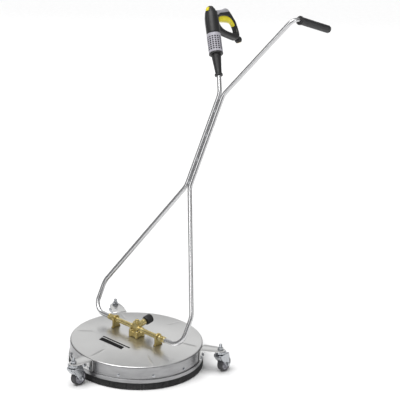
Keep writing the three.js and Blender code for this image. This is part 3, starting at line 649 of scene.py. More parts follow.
def brushCore():
    def ripple(angle, radius, height):
        return 0.35 * noise.noise(Vector((angle * 170, radius, height * 0.05))) if height < 26 else 0
    inner, outer, top = brush["inner"] + 0.6, brush["outer"], brush["top"]
    return turned([(inner, 2.2), (outer - 0.9, 2.2, 1.5), (outer - 1.6, top), (inner, top)], 720, ripple)


def buildDeck():
    hub = turned([(22, 101.3), (72, 101.3, 0.8), (72, 105.3, 0.8), (22, 105.3)], 96)
    place("deckPan", deckPan(), deckPlace, "deck", "sheet skirt", "deck_shell", 28)
    place("skirtScrews", skirtScrews(), deckPlace, "deck", "zinc")
    place("deckLabel", deckLabel(), deckPlace, "deck", "label")
    place("brushCarrier", brushCarrier(), deckPlace, "deck", "skirt", "brush_carrier")
    place("brushCore", brushCore(), deckPlace, "deck", "bristle", "brush_ring")
    place("brushStrands", brushStrands(), deckPlace, "deck", "bristle")
    place("hubPlate", hub, deckPlace, "deck", "ground", "hub_plate")
    print("deck")


# castors

bracket = {"root": 260.4, "tip": 357, "half": 27, "top": 97, "sheet": 4, "legEnd": 46, "bend": 3}
fork = {"half": 18, "sheet": 2.5, "crown": 79, "trail": 27, "axle": 31}
wheel = {"radius": 31, "half": 12}


# A flat blank with its leg folded down at the skirt. It is drawn along X.
def castorBracket():
    b = bracket
    outer = b["bend"] + b["sheet"]
    neutral = b["bend"] + b["sheet"] / 2
    foldEnd = b["root"] + outer
    foldStart = foldEnd - neutral * pi / 2
    legLength = b["top"] - outer - b["legEnd"]
    oneSide = [(foldStart - legLength, b["half"], 3), (foldEnd, b["half"]), (318, 25, 12), (344, 18, 14),
               (354.5, 9, 8)]
    outline = [(x, -y, *corner) for x, y, *corner in oneSide] + [(b["tip"], 0, 8)] + oneSide[::-1]
    bm = prism(outline, 0, b["sheet"], 0.5)
    for step in range(9):
        x = foldStart + (foldEnd - foldStart) * step / 8
        everything = bm.verts[:] + bm.edges[:] + bm.faces[:]
        bmesh.ops.bisect_plane(bm, geom=everything, plane_co=(x, 0, 0), plane_no=(1, 0, 0))
    for vert in bm.verts:
        away = b["bend"] + vert.co.z
        turn = min(max(foldEnd - vert.co.x, 0) / neutral, pi / 2)
        beyond = max(foldStart - vert.co.x, 0)
        x = foldEnd - away * sin(turn) if turn > 0 else vert.co.x
        vert.co = (x, vert.co.y, b["top"] - outer + away * cos(turn) - beyond)
    return bm


def bracketScrews():
    parts = []
    for y in (-15, 15):
        where = Matrix.Translation((bracket["root"] + bracket["sheet"] + 0.05, y, 60)) @ alongX
        parts.append((turned([(0, 0), (6.5, 0), (6.5, 1.2, 0.4), (0, 1.2)], 32), where))
        parts.append((hexBar(9, 1, 5.6), where @ Matrix.Rotation(radians(12 * y), 4, "Z")))
    return combined(*parts)


def castorHead():
    return turned([(0, 70), (8.5, 70, 1.5), (9, 75, 0.6), (6, 75.3), (6, 79.6), (15, 79.6), (16.5, 81, 1),
                   (21.6, 84.5, 1.2), (21.8, 87.6, 0.8), (20.6, 88.2), (20.6, 88.9), (21.8, 89.5, 0.8),
                   (21.5, 92.7, 0.8), (6, 92.7), (0, 92.7)], 72)


def threadedStud():
    def thread(angle, radius, height):
        return 0.3 * sin(angle - 2 * pi * height / 1.75) if 5 < radius < 6.5 and height < 119 else 0
    outline = [(0, 92.7)] + [(5.7, z) for z in np.arange(92.7, 119, 0.35)]
    return turned(outline + [(5.6, 119.3), (4.4, 120.9, 0.5), (0, 120.9)], 36, thread)


def stemNut():
    washer = turned([(6.3, 97.3), (12, 97.3, 0.4), (12, 98.8, 0.4), (6.3, 98.8)], 48)
    return combined((hexBar(19, 98.8, 107.3, 5.9, True), Matrix.Rotation(radians(20), 4, "Z")), washer)


def forkField(x, y, z):
    f = fork
    legs = [(-16, 79), (-16, 70), (18, 27), (22, 22.5), (28, 21), (34, 23), (37.5, 29), (39, 62), (33, 79)]
    crown = [(-18, -15.2), (-10, -20.9), (10, -20.9), (18, -15.2), (18, 33), (-18, 33)]
    apron = [(-22, 79), (-22, 71), (-10, 55), (-7.5, 57), (-19.5, 72.5), (-19.5, 79)]
    cheek = [(-18, 79), (-18, 69), (-3, 50), (-1, 52), (-15.5, 70.5), (-15.5, 79)]
    half = f["sheet"] / 2
    body = thickened(outlineDistance(crown, x, y), np.abs(z - f["crown"] + half) - half, 0.7)
    plates = np.abs(np.abs(x) - f["half"] + half) - half
    leg = thickened(outlineDistance(legs, y, z) + 0 * x, plates, 0.7)
    front = thickened(outlineDistance(apron, y, z) + 0 * x, np.abs(x) - 10, 0.7)
    side = thickened(outlineDistance(cheek, y, z) + 0 * x, np.abs(x) - f["half"], 0.7)
    body = melt(body, leg, 2.5)
    body = melt(body, melt(front, side, 2), 2)
    ring = np.sqrt((y - f["trail"]) ** 2 + (z - f["axle"]) ** 2)
    collar = thickened(ring - 9.5, plates - 0.5, 0.5)
    body = melt(body, collar, 1)
    hole = np.sqrt(x ** 2 + y ** 2) - 6.4
    return carve(body, hole + 0 * z, 0.5)


def castorTyre():
    radius, half = wheel["radius"], wheel["half"]

    def tread(angle, at, height):
        return -0.25 * (0.5 + 0.5 * sin(48 * angle)) ** 4 if at > radius - 0.6 and abs(height) < 7 else 0
    side = [(23.4, half - 1), (27.5, half, 1.2), (30.2, half - 1.6, 2), (radius, half - 5, 2),
            (radius - 0.02, 7), (radius, 6.5)]
    return turned([(r, -z, *corner) for r, z, *corner in side] + side[::-1], 192, tread)


def castorRim():
    side = [(4.3, 14), (8.6, 14, 1), (9.4, 6, 1.5), (18.5, 5, 2), (21, 11, 0.8), (23.2, 11.4, 0.5)]
    parts = [turned([(r, -z, *corner) for r, z, *corner in side] + side[::-1], 96)]
    for k in range(5):
        rib = prism([(8.5, -1.1), (20.3, -1.1), (20.3, 1.1), (8.5, 1.1)], -9, 9)
        parts.append((rib, Matrix.Rotation(2 * pi * k / 5, 4, "Z")))
    return combined(*parts)


def axleBolt():
    seat = fork["half"] + 0.5
    head = combined(hexBar(13, 1.2, 6), turned([(0, 0), (7.6, 0), (7.6, 1.3, 0.4), (0, 1.3)], 40))
    nut = hexBar(13, 0.2, 6.2, 3.9, depth=0.1)
    stub = turned([(0, -seat - 7.6), (3.2, -seat - 7.6, 0.5), (4, -seat - 6.8), (4, seat), (0, seat)], 32)
    return combined((head, Matrix.Translation((0, 0, seat))), stub,
                    (nut, Matrix.Translation((0, 0, -seat)) @ Matrix.Rotation(pi, 4, "X")))


def buildCastors():
    forkShape = bpy.data.meshes.new("forkShape")
    skin = skinOf(forkField, (-20, -25, 19), (20, 41, 81), 0.75)
    skin.to_mesh(forkShape)
    skin.free()
    for side in sides:
        where = castorPlace(side)
        armPlace = deckPlace @ Matrix.Rotation(radians(castor["arm"][side]), 4, "Z")
        wheelPlace = where @ Matrix.Translation((0, fork["trail"], fork["axle"])) @ alongX
        name = side.capitalize()
        turning, rolling = f"castor_{side}", f"wheel_{side}"
        place("bracket" + name, castorBracket(), armPlace, "deck", "sheet", f"castor_bracket_{side}")
        place("bracketScrews" + name, bracketScrews(), armPlace, "deck", "zinc")
        place("castorHead" + name, castorHead(), where, "deck", "zinc", f"castor_stem_{side}")
        place("castorStud" + name, threadedStud(), where, "deck", "zinc")
        place("castorNut" + name, stemNut(), where, "deck", "zinc", f"castor_nut_{side}")
        shape = newMesh()
        shape.from_mesh(forkShape)
        place("fork" + name, shape, where, turning, "zinc", f"castor_fork_{side}", 40)
        place("axleBolt" + name, axleBolt(), wheelPlace, turning, "zinc", f"castor_bolt_{side}")
        place("tyre" + name, castorTyre(), wheelPlace, rolling, "tyre", f"castor_tyre_{side}")
        place("rim" + name, castorRim(), wheelPlace, rolling, "rim", f"castor_hub_{side}")
    bpy.data.meshes.remove(forkShape)
    print("castors")


# brass swivel

swivel = {
    "seat": 108.3, "base": 20, "baseTop": 129, "boss": 8, "bossCircle": 23, "bossTop": 137, "tower": 12.5,
    "axle": 142, "cross": 12, "crossEnd": 22, "valveTilt": 10, "valveHeight": 150,
}
bossAngles = [radians(angle) for angle in (45, 135, 225, 315)]


def housingField(x, y, z):
    s = swivel

    def upTo(top):
        return np.abs(z - (s["seat"] + top) / 2) - (top - s["seat"]) / 2
    out = s["bossCircle"]
    bosses = [np.sqrt((x - out * cos(a)) ** 2 + (y - out * sin(a)) ** 2) for a in bossAngles]
    body = thickened(np.sqrt(x ** 2 + y ** 2) - s["base"], upTo(s["baseTop"]), 2)
    for boss in bosses:
        body = melt(body, thickened(boss - s["boss"], upTo(s["bossTop"]), 1.2), 3)
    square = np.maximum(np.abs(x), np.abs(y)) - s["tower"]
    chamfer = (np.abs(x) + np.abs(y)) / sqrt(2) - s["tower"] * 1.24
    body = melt(body, thickened(np.maximum(square, chamfer), np.abs(z - 145) - 25, 1.5), 4)
    cross = np.sqrt(y ** 2 + (z - s["axle"]) ** 2)
    body = melt(body, thickened(cross - s["cross"], np.abs(x) - s["crossEnd"], 1.2), 4)
    tilt = radians(s["valveTilt"])
    along = y * cos(tilt) + (z - s["valveHeight"]) * sin(tilt)
    off = np.sqrt(x ** 2 + (z - s["valveHeight"] - along * sin(tilt)) ** 2 + (y - along * cos(tilt)) ** 2)
    body = melt(body, thickened(off - 11.5, np.abs(along - 10) - 6.5, 1), 4)
    for boss in bosses:
        body = carve(body, np.maximum(boss - 5.6, s["bossTop"] - 4 - z), 0.6)
    return body


def bossScrews():
    parts = []
    for angle in bossAngles:
        head = turned([(0, 0), (5, 0), (5, 3.4, 0.8), (3, 3.6), (2.7, 1.2), (0, 1.2)], 40)
        at = Matrix.Translation((swivel["bossCircle"], 0, swivel["bossTop"] - 4.2))
        parts.append((head, Matrix.Rotation(angle, 4, "Z") @ at))
    return combined(*parts)


def axlePipe():
    return turned([(5.5, 22.3), (12, 22.3, 0.8), (12, 31, 1.5), (9.5, 34, 2), (9.5, 104, 0.4),
                   (11.2, 104.5, 0.5), (11.2, 111.3, 0.5), (9.5, 111.7, 0.4), (9.5, 123.7), (5.5, 123.7)], 72)


def pedestal():
    arc = [(17 * cos(radians(a)), 142 + 17 * sin(radians(a))) for a in range(0, 181, 10)]
    sole = [(-21, 108.4, 0.5), (21, 108.4, 0.5)]
    plate = sole + [(21, 112, 1.5), (16.8, 118, 4)] + arc + [(-16.8, 118, 4), (-21, 112, 1.5)]
    upright = prism(plate, 113.2, 119.8, 1, 3)
    foot = prism(sole + [(21, 112, 1.2), (-21, 112, 1.2)], 112, 121, 0.8)
    eye = turned([(9.8, 112), (13.6, 112, 0.8), (13.6, 121, 0.8), (9.8, 121)], 64)
    return combined((upright, sideways), (foot, sideways), (eye, Matrix.Translation((0, 0, 142)) @ alongX))


def coupling():
    ends = turned([(9.2, 124), (12.4, 124, 0.6), (12.4, 127, 0.4), (10.5, 142), (10.5, 147.4, 0.4),
                   (11.8, 148, 0.5), (11.8, 153.4, 0.7), (9.2, 154)], 72)
    return combined(ends, hexBar(23.2, 126.4, 142, 9.2, True))


def valveBody():
    return turned([(0, 14), (11.6, 14), (11.6, 17, 0.5), (12.5, 18, 0.5), (12.5, 30, 0.6), (11.4, 31),
                   (12.5, 32, 0.6), (12.5, 41.5, 0.8), (10, 44, 0.5), (5.4, 44.3), (5.4, 50), (0, 50)], 72)


def valveKnob():
    def knurl(angle, radius, height):
        return 0.55 * sin(22 * angle) - 0.1 if radius > 16.8 and 49 < height < 74.6 else 0
    outline = [(0, 77.6), (13.8, 77.6, 1), (14.5, 76.8, 0.4), (16.6, 76.4, 1.2), (17.2, 74.6, 0.4)]
    outline += [(17.2, z) for z in (74, 66, 58, 50)]
    outline += [(16.9, 48.4, 0.8), (15.8, 46.4, 0.8), (5.8, 46.2), (0, 46.2)]
    return turned(outline, 264, knurl)


def topPlug():
    return combined(turned([(0, 170), (10.4, 170), (10.4, 172.6, 0.5), (0, 172.6)], 48),
                    (hexBar(15, 172.4, 178.2), Matrix.Rotation(radians(15), 4, "Z")))


def buildSwivel():
    mirror = Matrix.Scale(-1, 4, (1, 0, 0))
    atAxle = Matrix.Translation((0, 0, swivel["axle"])) @ alongX
    housing = skinOf(housingField, (-38, -38, 102), (38, 38, 172), 0.8)
    place("swivelHousing", housing, deckPlace, "deck", "stampedBrass", "swivel_housing", 50)
    place("bossScrews", bossScrews(), deckPlace, "deck", "zinc")
    place("topPlug", topPlug(), deckPlace, "deck", "turnedBrass", "swivel_top_plug")
    for side, hand in (("left", Matrix.Identity(4)), ("right", mirror)):
        name, where = side.capitalize(), deckPlace @ hand
        place("axlePipe" + name, axlePipe(), where @ atAxle, "deck", "turnedBrass", f"axle_pipe_{side}")
        place("pedestal" + name, pedestal(), where, "deck", "stampedBrass", f"pedestal_{side}")
        place("coupling" + name, coupling(), lancePlace @ hand @ alongX, "lance", "turnedBrass",
              f"lance_coupling_{side}")
    upValve = deckPlace @ Matrix.Translation((0, 0, swivel["valveHeight"]))
    upValve = upValve @ Matrix.Rotation(radians(swivel["valveTilt"] - 90), 4, "X")
    place("valveBody", valveBody(), upValve, "deck", "turnedBrass", "valve_body")
    place("valveKnob", valveKnob(), upValve, "valve_knob", "black", "valve_knob", 50)
    print("swivel")


# spray rotor

rotor = {"arm": 67, "reach": 205, "radius": 7, "jetDrop": 22, "jetLead": 6}


def buildRotor():
    r = rotor
    hub = turned([(8.3, 54), (18, 54, 1), (22, 58, 1.5), (22, 76, 1.5), (18, 80, 1), (8.3, 80)], 72)
    shaft = turned([(0, 44), (7.2, 44, 0.6), (8, 45), (8, 142), (0, 142)], 48)
    place("rotorHub", hub, deckPlace, "rotor", "turnedBrass", "rotor_hub")
    place("rotorShaft", shaft, deckPlace, "rotor", "ground", "rotor_shaft")
    place("rotorNut", hexBar(24, 45, 53.7, 8.2, True), deckPlace, "rotor", "zinc", "rotor_nut")
    corner = Vector((r["reach"], 0, r["arm"]))
    drop = Vector((0, -r["jetLead"], -r["jetDrop"]))
    route = bent([(18, 0, r["arm"]), corner, corner + drop], [12])
    aim = Matrix.Translation(corner + drop) @ drop.to_track_quat("Z", "Y").to_matrix().to_4x4()
    for side, turn in (("a", 0), ("b", pi)):
        where = deckPlace @ Matrix.Rotation(turn, 4, "Z")
        name = side.upper()
        arm = swept(route, lambda along: r["radius"])
        jet = combined(turned([(0, 0.3), (8, 0.3, 0.6), (8, 3, 0.6), (0, 3)], 40), hexBar(14, 2.5, 10.3),
                       turned([(0, 9), (5, 9), (4, 15, 0.6), (1.2, 15), (1.2, 13), (0, 13)], 40))
        place("sprayArm" + name, arm, where, "rotor", "tube", f"spray_arm_{side}")
        place("sprayJet" + name, jet, where @ aim, "rotor", "turnedBrass", f"spray_jet_{side}")
    print("rotor")


# lance

tube = {"radius": 9, "yoke": 239, "yokeHeight": 122, "merge": 586, "start": 125,
        "bends": (50, 70, 70, 70, 34), "gripCorner": (212, 1334), "gripLift": 5}
grip = {"start": 36, "end": 227.5, "radius": 15.5, "flange": 18}
welds = {"heights": (604, 700, 800, 900, 955), "half": 7, "width": 2.6}


def tubeCorners(side):
    x = tube["yoke"]
    return [(side * tube["start"], 0, 0), (side * x, 0, 0), (side * x, 0, tube["yokeHeight"]),
            (side * lance["spacing"], 0, tube["merge"]), (side * lance["spacing"], 0, lance["split"])]


def gripTube():
    x, z = tube["gripCorner"]
    lift = radians(tube["gripLift"])
    reach = grip["end"] - 12
    corners = tubeCorners(1) + [(x, 0, z), (x, reach * cos(lift), z + reach * sin(lift))]
    return swept(bent(corners, tube["bends"], radians(3)), lambda along: tube["radius"], 56)


def gunTube():
    corners = tubeCorners(-1) + [alongBranch(gun["start"] + 8)]
    return swept(bent(corners, tube["bends"], radians(3)), lambda along: tube["radius"], 56)


# Short rippled beads in the groove between the two tubes, front and back.
def tubeWelds():
    half, parts = welds["half"], []

    def ripple(along):
        taper = min(1, 0.35 + along / 4, 0.35 + (2 * half - along) / 4)
        return welds["width"] * taper * (1 + 0.12 * sin(along * 3.2))
    for height in welds["heights"]:
        for side in (-1, 1):
            rises = (height - half + 0.7 * k for k in range(int(2 * half / 0.7) + 1))
            parts.append(swept([Vector((0, side * 2.2, rise)) for rise in rises], ripple, 16))
    return combined(*parts)


def plainGrip():
    start, end, radius, flange = grip["start"], grip["end"], grip["radius"], grip["flange"]

    def flutes(angle, at, height):
        if not start + 10 < height < end - 9 or at < radius - 0.5:
            return 0
        return -0.35 * (0.5 + 0.5 * cos(angle * 10)) ** 6
    body = [(9.2, start), (flange - 0.6, start, 0.8), (flange, start + 1.5, 0.8), (flange, start + 5, 1.2),
            (radius + 0.2, start + 7.5, 2)]
    body += [(radius, z) for z in np.linspace(start + 9, end - 9, 40)]
    body += [(radius, end - 7, 2), (radius - 1, end - 2.5, 3), (radius - 4, end, 2.5), (3, end, 0.5),
             (3, end - 8), (9.2, end - 8)]
    return turned(body, 120, flutes)


def buildLance():
    place("gripTube", gripTube(), lancePlace, "lance", "tube", "lance_tube_left")
    place("gunTube", gunTube(), lancePlace, "lance", "tube", "lance_tube_right")
    place("tubeWelds", tubeWelds(), lancePlace, "lance", "zinc", slot="tube_steel")
    x, z = tube["gripCorner"]
    aim = Matrix.Translation((x, 0, z)) @ Matrix.Rotation(radians(tube["gripLift"] - 90), 4, "X")
    place("plainGrip", plainGrip(), lancePlace @ aim, "lance", "grip", "lance_grip", 40)
    print("lance")


# trigger gun: the barrel is drawn along Z and the loop handle reaches along Y

handle = {
    "outer": [(0, 205), (40, 201), (80, 199), (125, 199.5), (150, 202), (164, 212), (168, 228), (165, 246),
              (160, 262), (152, 280), (138, 296), (125, 309), (113, 317.5), (101, 321), (88, 317), (60, 304),
              (26, 291), (0, 275)],
    "loop": [(31, 246), (36, 262), (52, 273), (80, 283), (105, 288), (123, 285), (137, 275), (147, 262),
             (153, 247), (150, 233), (136, 223.5), (108, 221), (80, 220), (58, 222.5), (42, 231)],
    "trigger": [(42, 258), (39, 271), (41, 285), (50, 290), (62, 288), (80, 289.5), (104, 293), (124, 290),
                (139, 279), (148, 266), (146, 259.5), (138, 264), (129, 269), (118, 269.5), (96, 264.5),
                (72, 258.5), (52, 253.5)],
    "half": 14, "round": 7, "pivot": (48, 281), "travel": 5, "leverHalf": 9, "foot": (170.6, 209),
}
barrel = {"outline": [(0, 183), (26, 183), (27.5, 187), (28, 205), (28, 235), (27, 255), (24, 275), (19, 290),
                      (12, 302), (0, 308)]}
latch = {"low": 280, "high": 297, "half": 6.5,
         "face": [(-8, 280), (-25, 280), (-25.5, 283), (-20, 295), (-18, 297), (-8, 297)]}
sleeve = {"start": 102, "end": 182.5, "radius": 28.1, "columns": 16, "rows": 7, "firstRow": 114,
          "rowStep": 8.6, "pocket": (6.8, 5.4), "deep": 4}


# A closed smooth curve through given points.
def smoothLoop(points, each=4):
    line = []
    count = len(points)
    for i in range(count):
        p0, p1, p2, p3 = (Vector(points[(i + k) % count]) for k in (-1, 0, 1, 2))
        for step in range(each):
            t = step / each
            ease = 3 * t ** 2 - 2 * t ** 3
            leaving, arriving = 0.4 * t * (t - 1) ** 2 * (p2 - p0), 0.4 * t * t * (t - 1) * (p3 - p1)
            line.append(tuple((1 - ease) * p1 + ease * p2 + leaving + arriving))
    return line


def handleField(x, y, z):
    flat = outlineDistance(smoothLoop(handle["outer"]), y, z)
    hole = outlineDistance(smoothLoop(handle["loop"]), y, z)
    loop = np.maximum(flat, -hole)
    return thickened(loop + 0 * x, np.abs(x) - handle["half"], handle["round"])


def triggerField(x, y, z, grow=0, turn=0):
    py, pz = handle["pivot"]
    c, s = cos(turn), sin(turn)
    back = (y - py) * c + (z - pz) * s + py
    up = -(y - py) * s + (z - pz) * c + pz
    flat = outlineDistance(smoothLoop(handle["trigger"]), back, up)
    return thickened(flat - grow + 0 * x, np.abs(x) - handle["leverHalf"] - grow, 5)


def shellField(x, y, z):
    radius = np.sqrt(x ** 2 + y ** 2)
    outline = barrel["outline"] + [(-r, h) for r, h in barrel["outline"][-2:0:-1]]
    body = melt(outlineDistance(outline, radius, z), handleField(x, y, z), 9)
    body = np.maximum(body, 183 - z)
    for turn in np.linspace(-0.5, handle["travel"] + 0.5, 4):
        body = carve(body, triggerField(x, y, z, 0.8, radians(turn)), 0.8)
    slot = np.maximum(np.abs(y + 21.3) - 18.3, np.abs(z - (latch["low"] + latch["high"]) / 2) - 9)
    body = carve(body, thickened(slot + 0 * x, np.abs(x) - latch["half"] - 0.5, 1.5), 0.8)
    fy, fz = handle["foot"]
    return carve(body, np.sqrt(x ** 2 + (y - fy) ** 2 + (z - fz) ** 2) - 15.4, 0.8)


def gunShell(side):
    def field(x, y, z):
        return carve(shellField(x, y, z), side * x - 0.12 + 0 * y + 0 * z, 0.9)
    low = (-0.9, -30, 182) if side > 0 else (-30, -30, 182)
    high = (30, 172, 312) if side > 0 else (0.9, 172, 312)
    return skinOf(field, low, high, 1.15)


# Soft pad over the back of the upper arm and the edge of both faces: the handle's own skin, lifted.
pad = {"edge": [(24.5, 272), (31, 273), (40, 281.5), (48, 287), (63, 292), (84, 300), (103, 307),
                (111.5, 316), (114, 328), (100, 332), (60, 315), (24.5, 302)],
       "thick": 1.4, "rise": 1.9, "riseAt": 93}


def padField(x, y, z):
    skin = handleField(x, y, z)
    hump = np.exp(-((y - pad["riseAt"]) / 13) ** 2) * np.clip((15 - np.abs(x)) / 8, 0, 1)
    shell = np.maximum(skin - pad["thick"] - pad["rise"] * hump, 0.1 - skin)
    return -melt(-shell, -outlineDistance(pad["edge"], y, z) + 0 * x, 1.2)


def sleeveShell():
    s = sleeve
    bm = newMesh()
    columnStep = 2 * pi / s["columns"]
    pocketTurn = s["pocket"][0] / s["radius"] / 2
    angles = []
    for k in range(s["columns"]):
        middle = k * columnStep
        angles += [(middle - pocketTurn, True), (middle + pocketTurn, False)]
        gap = columnStep - 2 * pocketTurn
        angles += [(middle + pocketTurn + gap * share, False) for share in (0.25, 0.5, 0.75)]
    heights = [(s["start"] + 0.6, False), (s["start"] + 1.6, False)]
    for row in range(s["rows"]):
        middle = s["firstRow"] + s["rowStep"] * row
        heights += [(middle - s["pocket"][1] / 2, True), (middle + s["pocket"][1] / 2, False)]
    heights += [(s["end"] - 1.6, False), (s["end"] - 0.6, False)]
    radii = [s["radius"] - 0.9] + [s["radius"]] * (len(heights) - 2) + [s["radius"] - 0.9]
    rings = [[bm.verts.new((r * cos(a), r * sin(a), z)) for a, _ in angles]
             for (z, _), r in zip(heights, radii)]
    count = len(angles)
    for i in range(len(heights) - 1):
        for k in range(count):
            j = (k + 1) % count
            corners = (rings[i][k], rings[i][j], rings[i + 1][j], rings[i + 1][k])
            if not (heights[i][1] and angles[k][1]):
                bm.faces.new(corners)
                continue
            # painted shade: the walls and floor of each pocket take the black finish, standing for the shade
            # inside it
            low = (s["radius"] - s["deep"]) / s["radius"]
            deep = [bm.verts.new((v.co.x * low, v.co.y * low, v.co.z)) for v in corners]
            for p in range(4):
                q = (p + 1) % 4
                bm.faces.new((corners[p], corners[q], deep[q], deep[p])).material_index = 1
            bm.faces.new(deep).material_index = 1
    for ring, z in ((rings[0], s["start"]), (rings[-1], s["end"])):
        inner = [bm.verts.new((11.2 * cos(a), 11.2 * sin(a), z)) for a, _ in angles]
        edge = [bm.verts.new((v.co.x * 0.985, v.co.y * 0.985, z)) for v in ring]
        for k in range(count):
            j = (k + 1) % count
            bm.faces.new((ring[k], ring[j], edge[j], edge[k]))
            bm.faces.new((edge[k], edge[j], inner[j], inner[k]))
    return bm


def gunCone():
    def flutes(angle, radius, height):
        return -0.5 * (0.5 + 0.5 * cos(6 * angle)) ** 3 if 26 < height < 80 and radius > 13 else 0
    outline = [(6, 12), (12.8, 12, 0.6), (13.1, 22, 2)]
    outline += [(13.2 + 4.8 * share, 24 + 52 * share) for share in np.linspace(0, 1, 20)]
    return turned(outline + [(18.8, 84, 1), (19.5, 93.9, 0.6), (6, 93.9)], 96, flutes)


def latchLever():
    def field(x, y, z):
        whole = thickened(outlineDistance(latch["face"], y, z) + 0 * x, np.abs(x) - latch["half"], 2)
        for k in (-1, 0, 1):
            groove = np.sqrt((y + 23.7 - 1.1 * k) ** 2 + (z - 288 - 3.2 * k) ** 2) - 1
            whole = carve(whole, groove + 0 * x, 0.4)
        return whole
    return skinOf(field, (-7.5, -27, 278.5), (7.5, -7, 298.5), 0.5)


# The hose socket is a round boss at the foot of the handle with a brass thread in its open end.
def hoseSocket():
    dome = [(15 * cos(radians(a)), 15 * sin(radians(a))) for a in range(-58, 52, 6)]
    bore = [(10, 11.9, 0.8), (8.8, 12.4, 0.4), (8.7, 0), (4.2, 0), (4.2, -12.7)]
    return turned([(8.7, -12.7, 0.6)] + dome + bore, 72)


def socketThread():
    line = [(4.3, 0.2), (8.5, 0.2), (8.5, 12.1, 0.4), (7.4, 12.1, 0.3)]
    for k in range(6):
        line += [(6.4, 11.2 - 1.6 * k), (7.2, 10.4 - 1.6 * k)]
    return turned(line + [(4.3, 1.6)], 64, steps=2)


def buildGun():
    collar = turned([(10.4, 4.5), (15.4, 4.5, 0.8), (16.5, 6, 1.2), (16.5, 10, 1.2), (15.2, 11.7, 0.6),
                     (10.4, 11.7)], 72)
    ring = turned([(8, 94.5), (25.6, 94.5, 0.8), (28.4, 96.4, 1.2), (28.4, 100, 1), (26.4, 101.6, 0.6),
                   (8, 101.6)], 96)
    softPad = skinOf(padField, (-17, 22, 268), (17, 118, 330), 0.7)
    lever = skinOf(triggerField, (-10.5, 34, 246), (10.5, 156, 298), 0.8)
    place("gunCollar", collar, gunPlace, "lance", "black", "gun_collar")
    place("gunCone", gunCone(), gunPlace, "lance", "black", "gun_cone", 40)
    place("gunRing", ring, gunPlace, "lance", "black", "gun_ring")
    place("gunSleeve", sleeveShell(), gunPlace, "lance", "grey black", "gun_sleeve")
    place("gunShellLeft", gunShell(1), gunPlace, "lance", "black", "gun_shell_left", 50)
    place("gunShellRight", gunShell(-1), gunPlace, "lance", "black", "gun_shell_right", 50)
    place("gunPad", softPad, gunPlace, "lance", "softGrey", "gun_pad", 50)
    place("triggerLever", lever, gunPlace, "trigger", "yellow", "gun_trigger", 50)
    place("latchLever", latchLever(), gunPlace, "latch", "yellow", "gun_latch", 50)
    atFoot = gunPlace @ Matrix.Translation((0, *handle["foot"])) @ Matrix.Rotation(radians(200), 4, "X")
    place("hoseSocket", hoseSocket(), atFoot, "lance", "black", "gun_inlet", 50)
    place("socketThread", socketThread(), atFoot, "lance", "turnedBrass")
    print("gun")


buildDeck()
buildCastors()
buildSwivel()
buildRotor()
buildLance()
buildGun()

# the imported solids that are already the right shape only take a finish
dressed = {"rotor_bearing_upper": "ground", "rotor_bearing_lower": "ground", "shaft_seal": "tyre",
           "gun_valve": "turnedBrass", "gun_trigger_pin": "ground"}
for node, used in dressed.items():
    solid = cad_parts[node].data
    solid.materials.clear()
    solid.materials.append(finish[used])


# camera and studio

view = {"azimuth": 42.98, "elevation": 20.98, "roll": 2.09, "distance": 8.404, "lens": 198,
        "target": (0.16714, 0.15574, 0.68685)}  # target is measured from the deck's middle on the floor


def outwardOf(azimuth, elevation):
    a, e = radians(azimuth), radians(elevation)
    return Vector((sin(a) * cos(e), -cos(a) * cos(e), sin(e)))


def setCamera():
    outward = outwardOf(view["azimuth"], view["elevation"])
    target = deckMiddle + Vector(view["target"])
    right = Vector((0, 0, 1)).cross(outward).normalized()
    up = outward.cross(right)
    roll = radians(view["roll"])
    rolled = (right * cos(roll) + up * sin(roll), up * cos(roll) - right * sin(roll), outward)
    data = bpy.data.cameras.new("camera")
    data.lens = view["lens"]
    data.clip_end = 60
    camera = bpy.data.objects.new("camera", data)
    turn = Matrix(rolled).transposed().to_4x4()
    camera.matrix_world = Matrix.Translation(target + outward * view["distance"]) @ turn
    scene.collection.objects.link(camera)
    scene.camera = camera


lights = {  # azimuth and elevation in degrees about the machine, distance and size in m, power in W
    "key": {"azimuth": 0, "elevation": 38, "distance": 3.6, "size": (1.4, 2.4), "power": 22},
    "fill": {"azimuth": 100, "elevation": 25, "distance": 3.8, "size": (1.0, 2.6), "power": 14},
    "back": {"azimuth": 226, "elevation": 22, "distance": 4.2, "size": (3.4, 2.2), "power": 18},
}
ceiling = {"azimuth": -10, "elevation": 74, "distance": 4, "spread": 50, "power": 2.3}  # a soft, wide sun


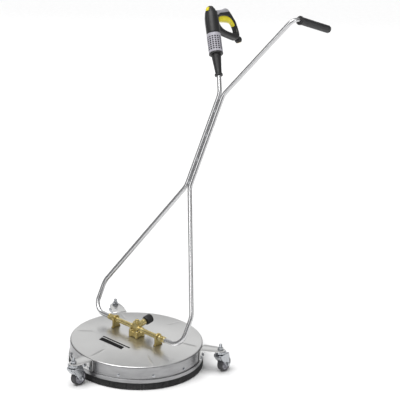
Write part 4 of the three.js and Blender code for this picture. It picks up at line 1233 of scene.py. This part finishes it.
def hang(data, facts):
    data.energy = facts["power"]
    outward = outwardOf(facts["azimuth"], facts["elevation"])
    turn = outward.to_track_quat("Z", "Y").to_matrix().to_4x4()
    lamp = bpy.data.objects.new(data.name, data)
    middle = deckMiddle + Vector((0, 0.2, 0.45))
    lamp.matrix_world = Matrix.Translation(middle + outward * facts["distance"]) @ turn
    scene.collection.objects.link(lamp)


def setLights():
    for name, facts in lights.items():
        data = bpy.data.lights.new(name, "AREA")
        data.shape = "RECTANGLE"
        data.size, data.size_y = facts["size"]
        hang(data, facts)
    data = bpy.data.lights.new("ceiling", "SUN")
    data.angle = radians(ceiling["spread"])
    hang(data, ceiling)


# Grey studio walls that brighten towards the ceiling, with the pale paper seen by the camera.
def setWorld():
    world = bpy.data.worlds.new("studio")
    world.use_nodes = True
    tree = world.node_tree
    tree.nodes.clear()
    coordinates = addNode(tree, "TexCoord")
    parts = addNode(tree, "SeparateXYZ", None, {0: coordinates.outputs["Generated"]})
    wall = addNode(tree, "ValToRGB", None, {"Fac": parts.outputs["Z"]})
    stops = wall.color_ramp.elements
    stops[0].position, stops[0].color = 0.0, linear("#a9a9aa")
    stops[1].position, stops[1].color = 0.85, linear("#f4f4f4")
    stops.new(0.35).color = linear("#c3c3c4")
    studio = addNode(tree, "Background", {"Strength": 0.5}, {"Color": wall.outputs[0]})
    paper = addNode(tree, "Background", {"Strength": 1.0, "Color": linear("#fcfcfc")})
    path = addNode(tree, "LightPath")
    mixed = addNode(tree, "MixShader", None,
                    {0: path.outputs["Is Camera Ray"], 1: studio.outputs[0], 2: paper.outputs[0]})
    addNode(tree, "OutputWorld", None, {"Surface": mixed.outputs[0]})
    scene.world = world


def layFloor():
    bpy.ops.mesh.primitive_plane_add(size=60, location=(0, 0, -0.0004))
    paper = bpy.context.object
    paper.name = "floorPaper"
    # matt wood-free card: no highlights, and fibres too fine to see but for a slight cloud
    paper.data.materials.append(surface("paper_white_matt", 0, ("#f3f3f3", "#f6f6f6"), (0.84, 0.86), (40, 2)))


setCamera()
setLights()
setWorld()
layFloor()
scene.view_settings.view_transform = "Standard"
print("studio")
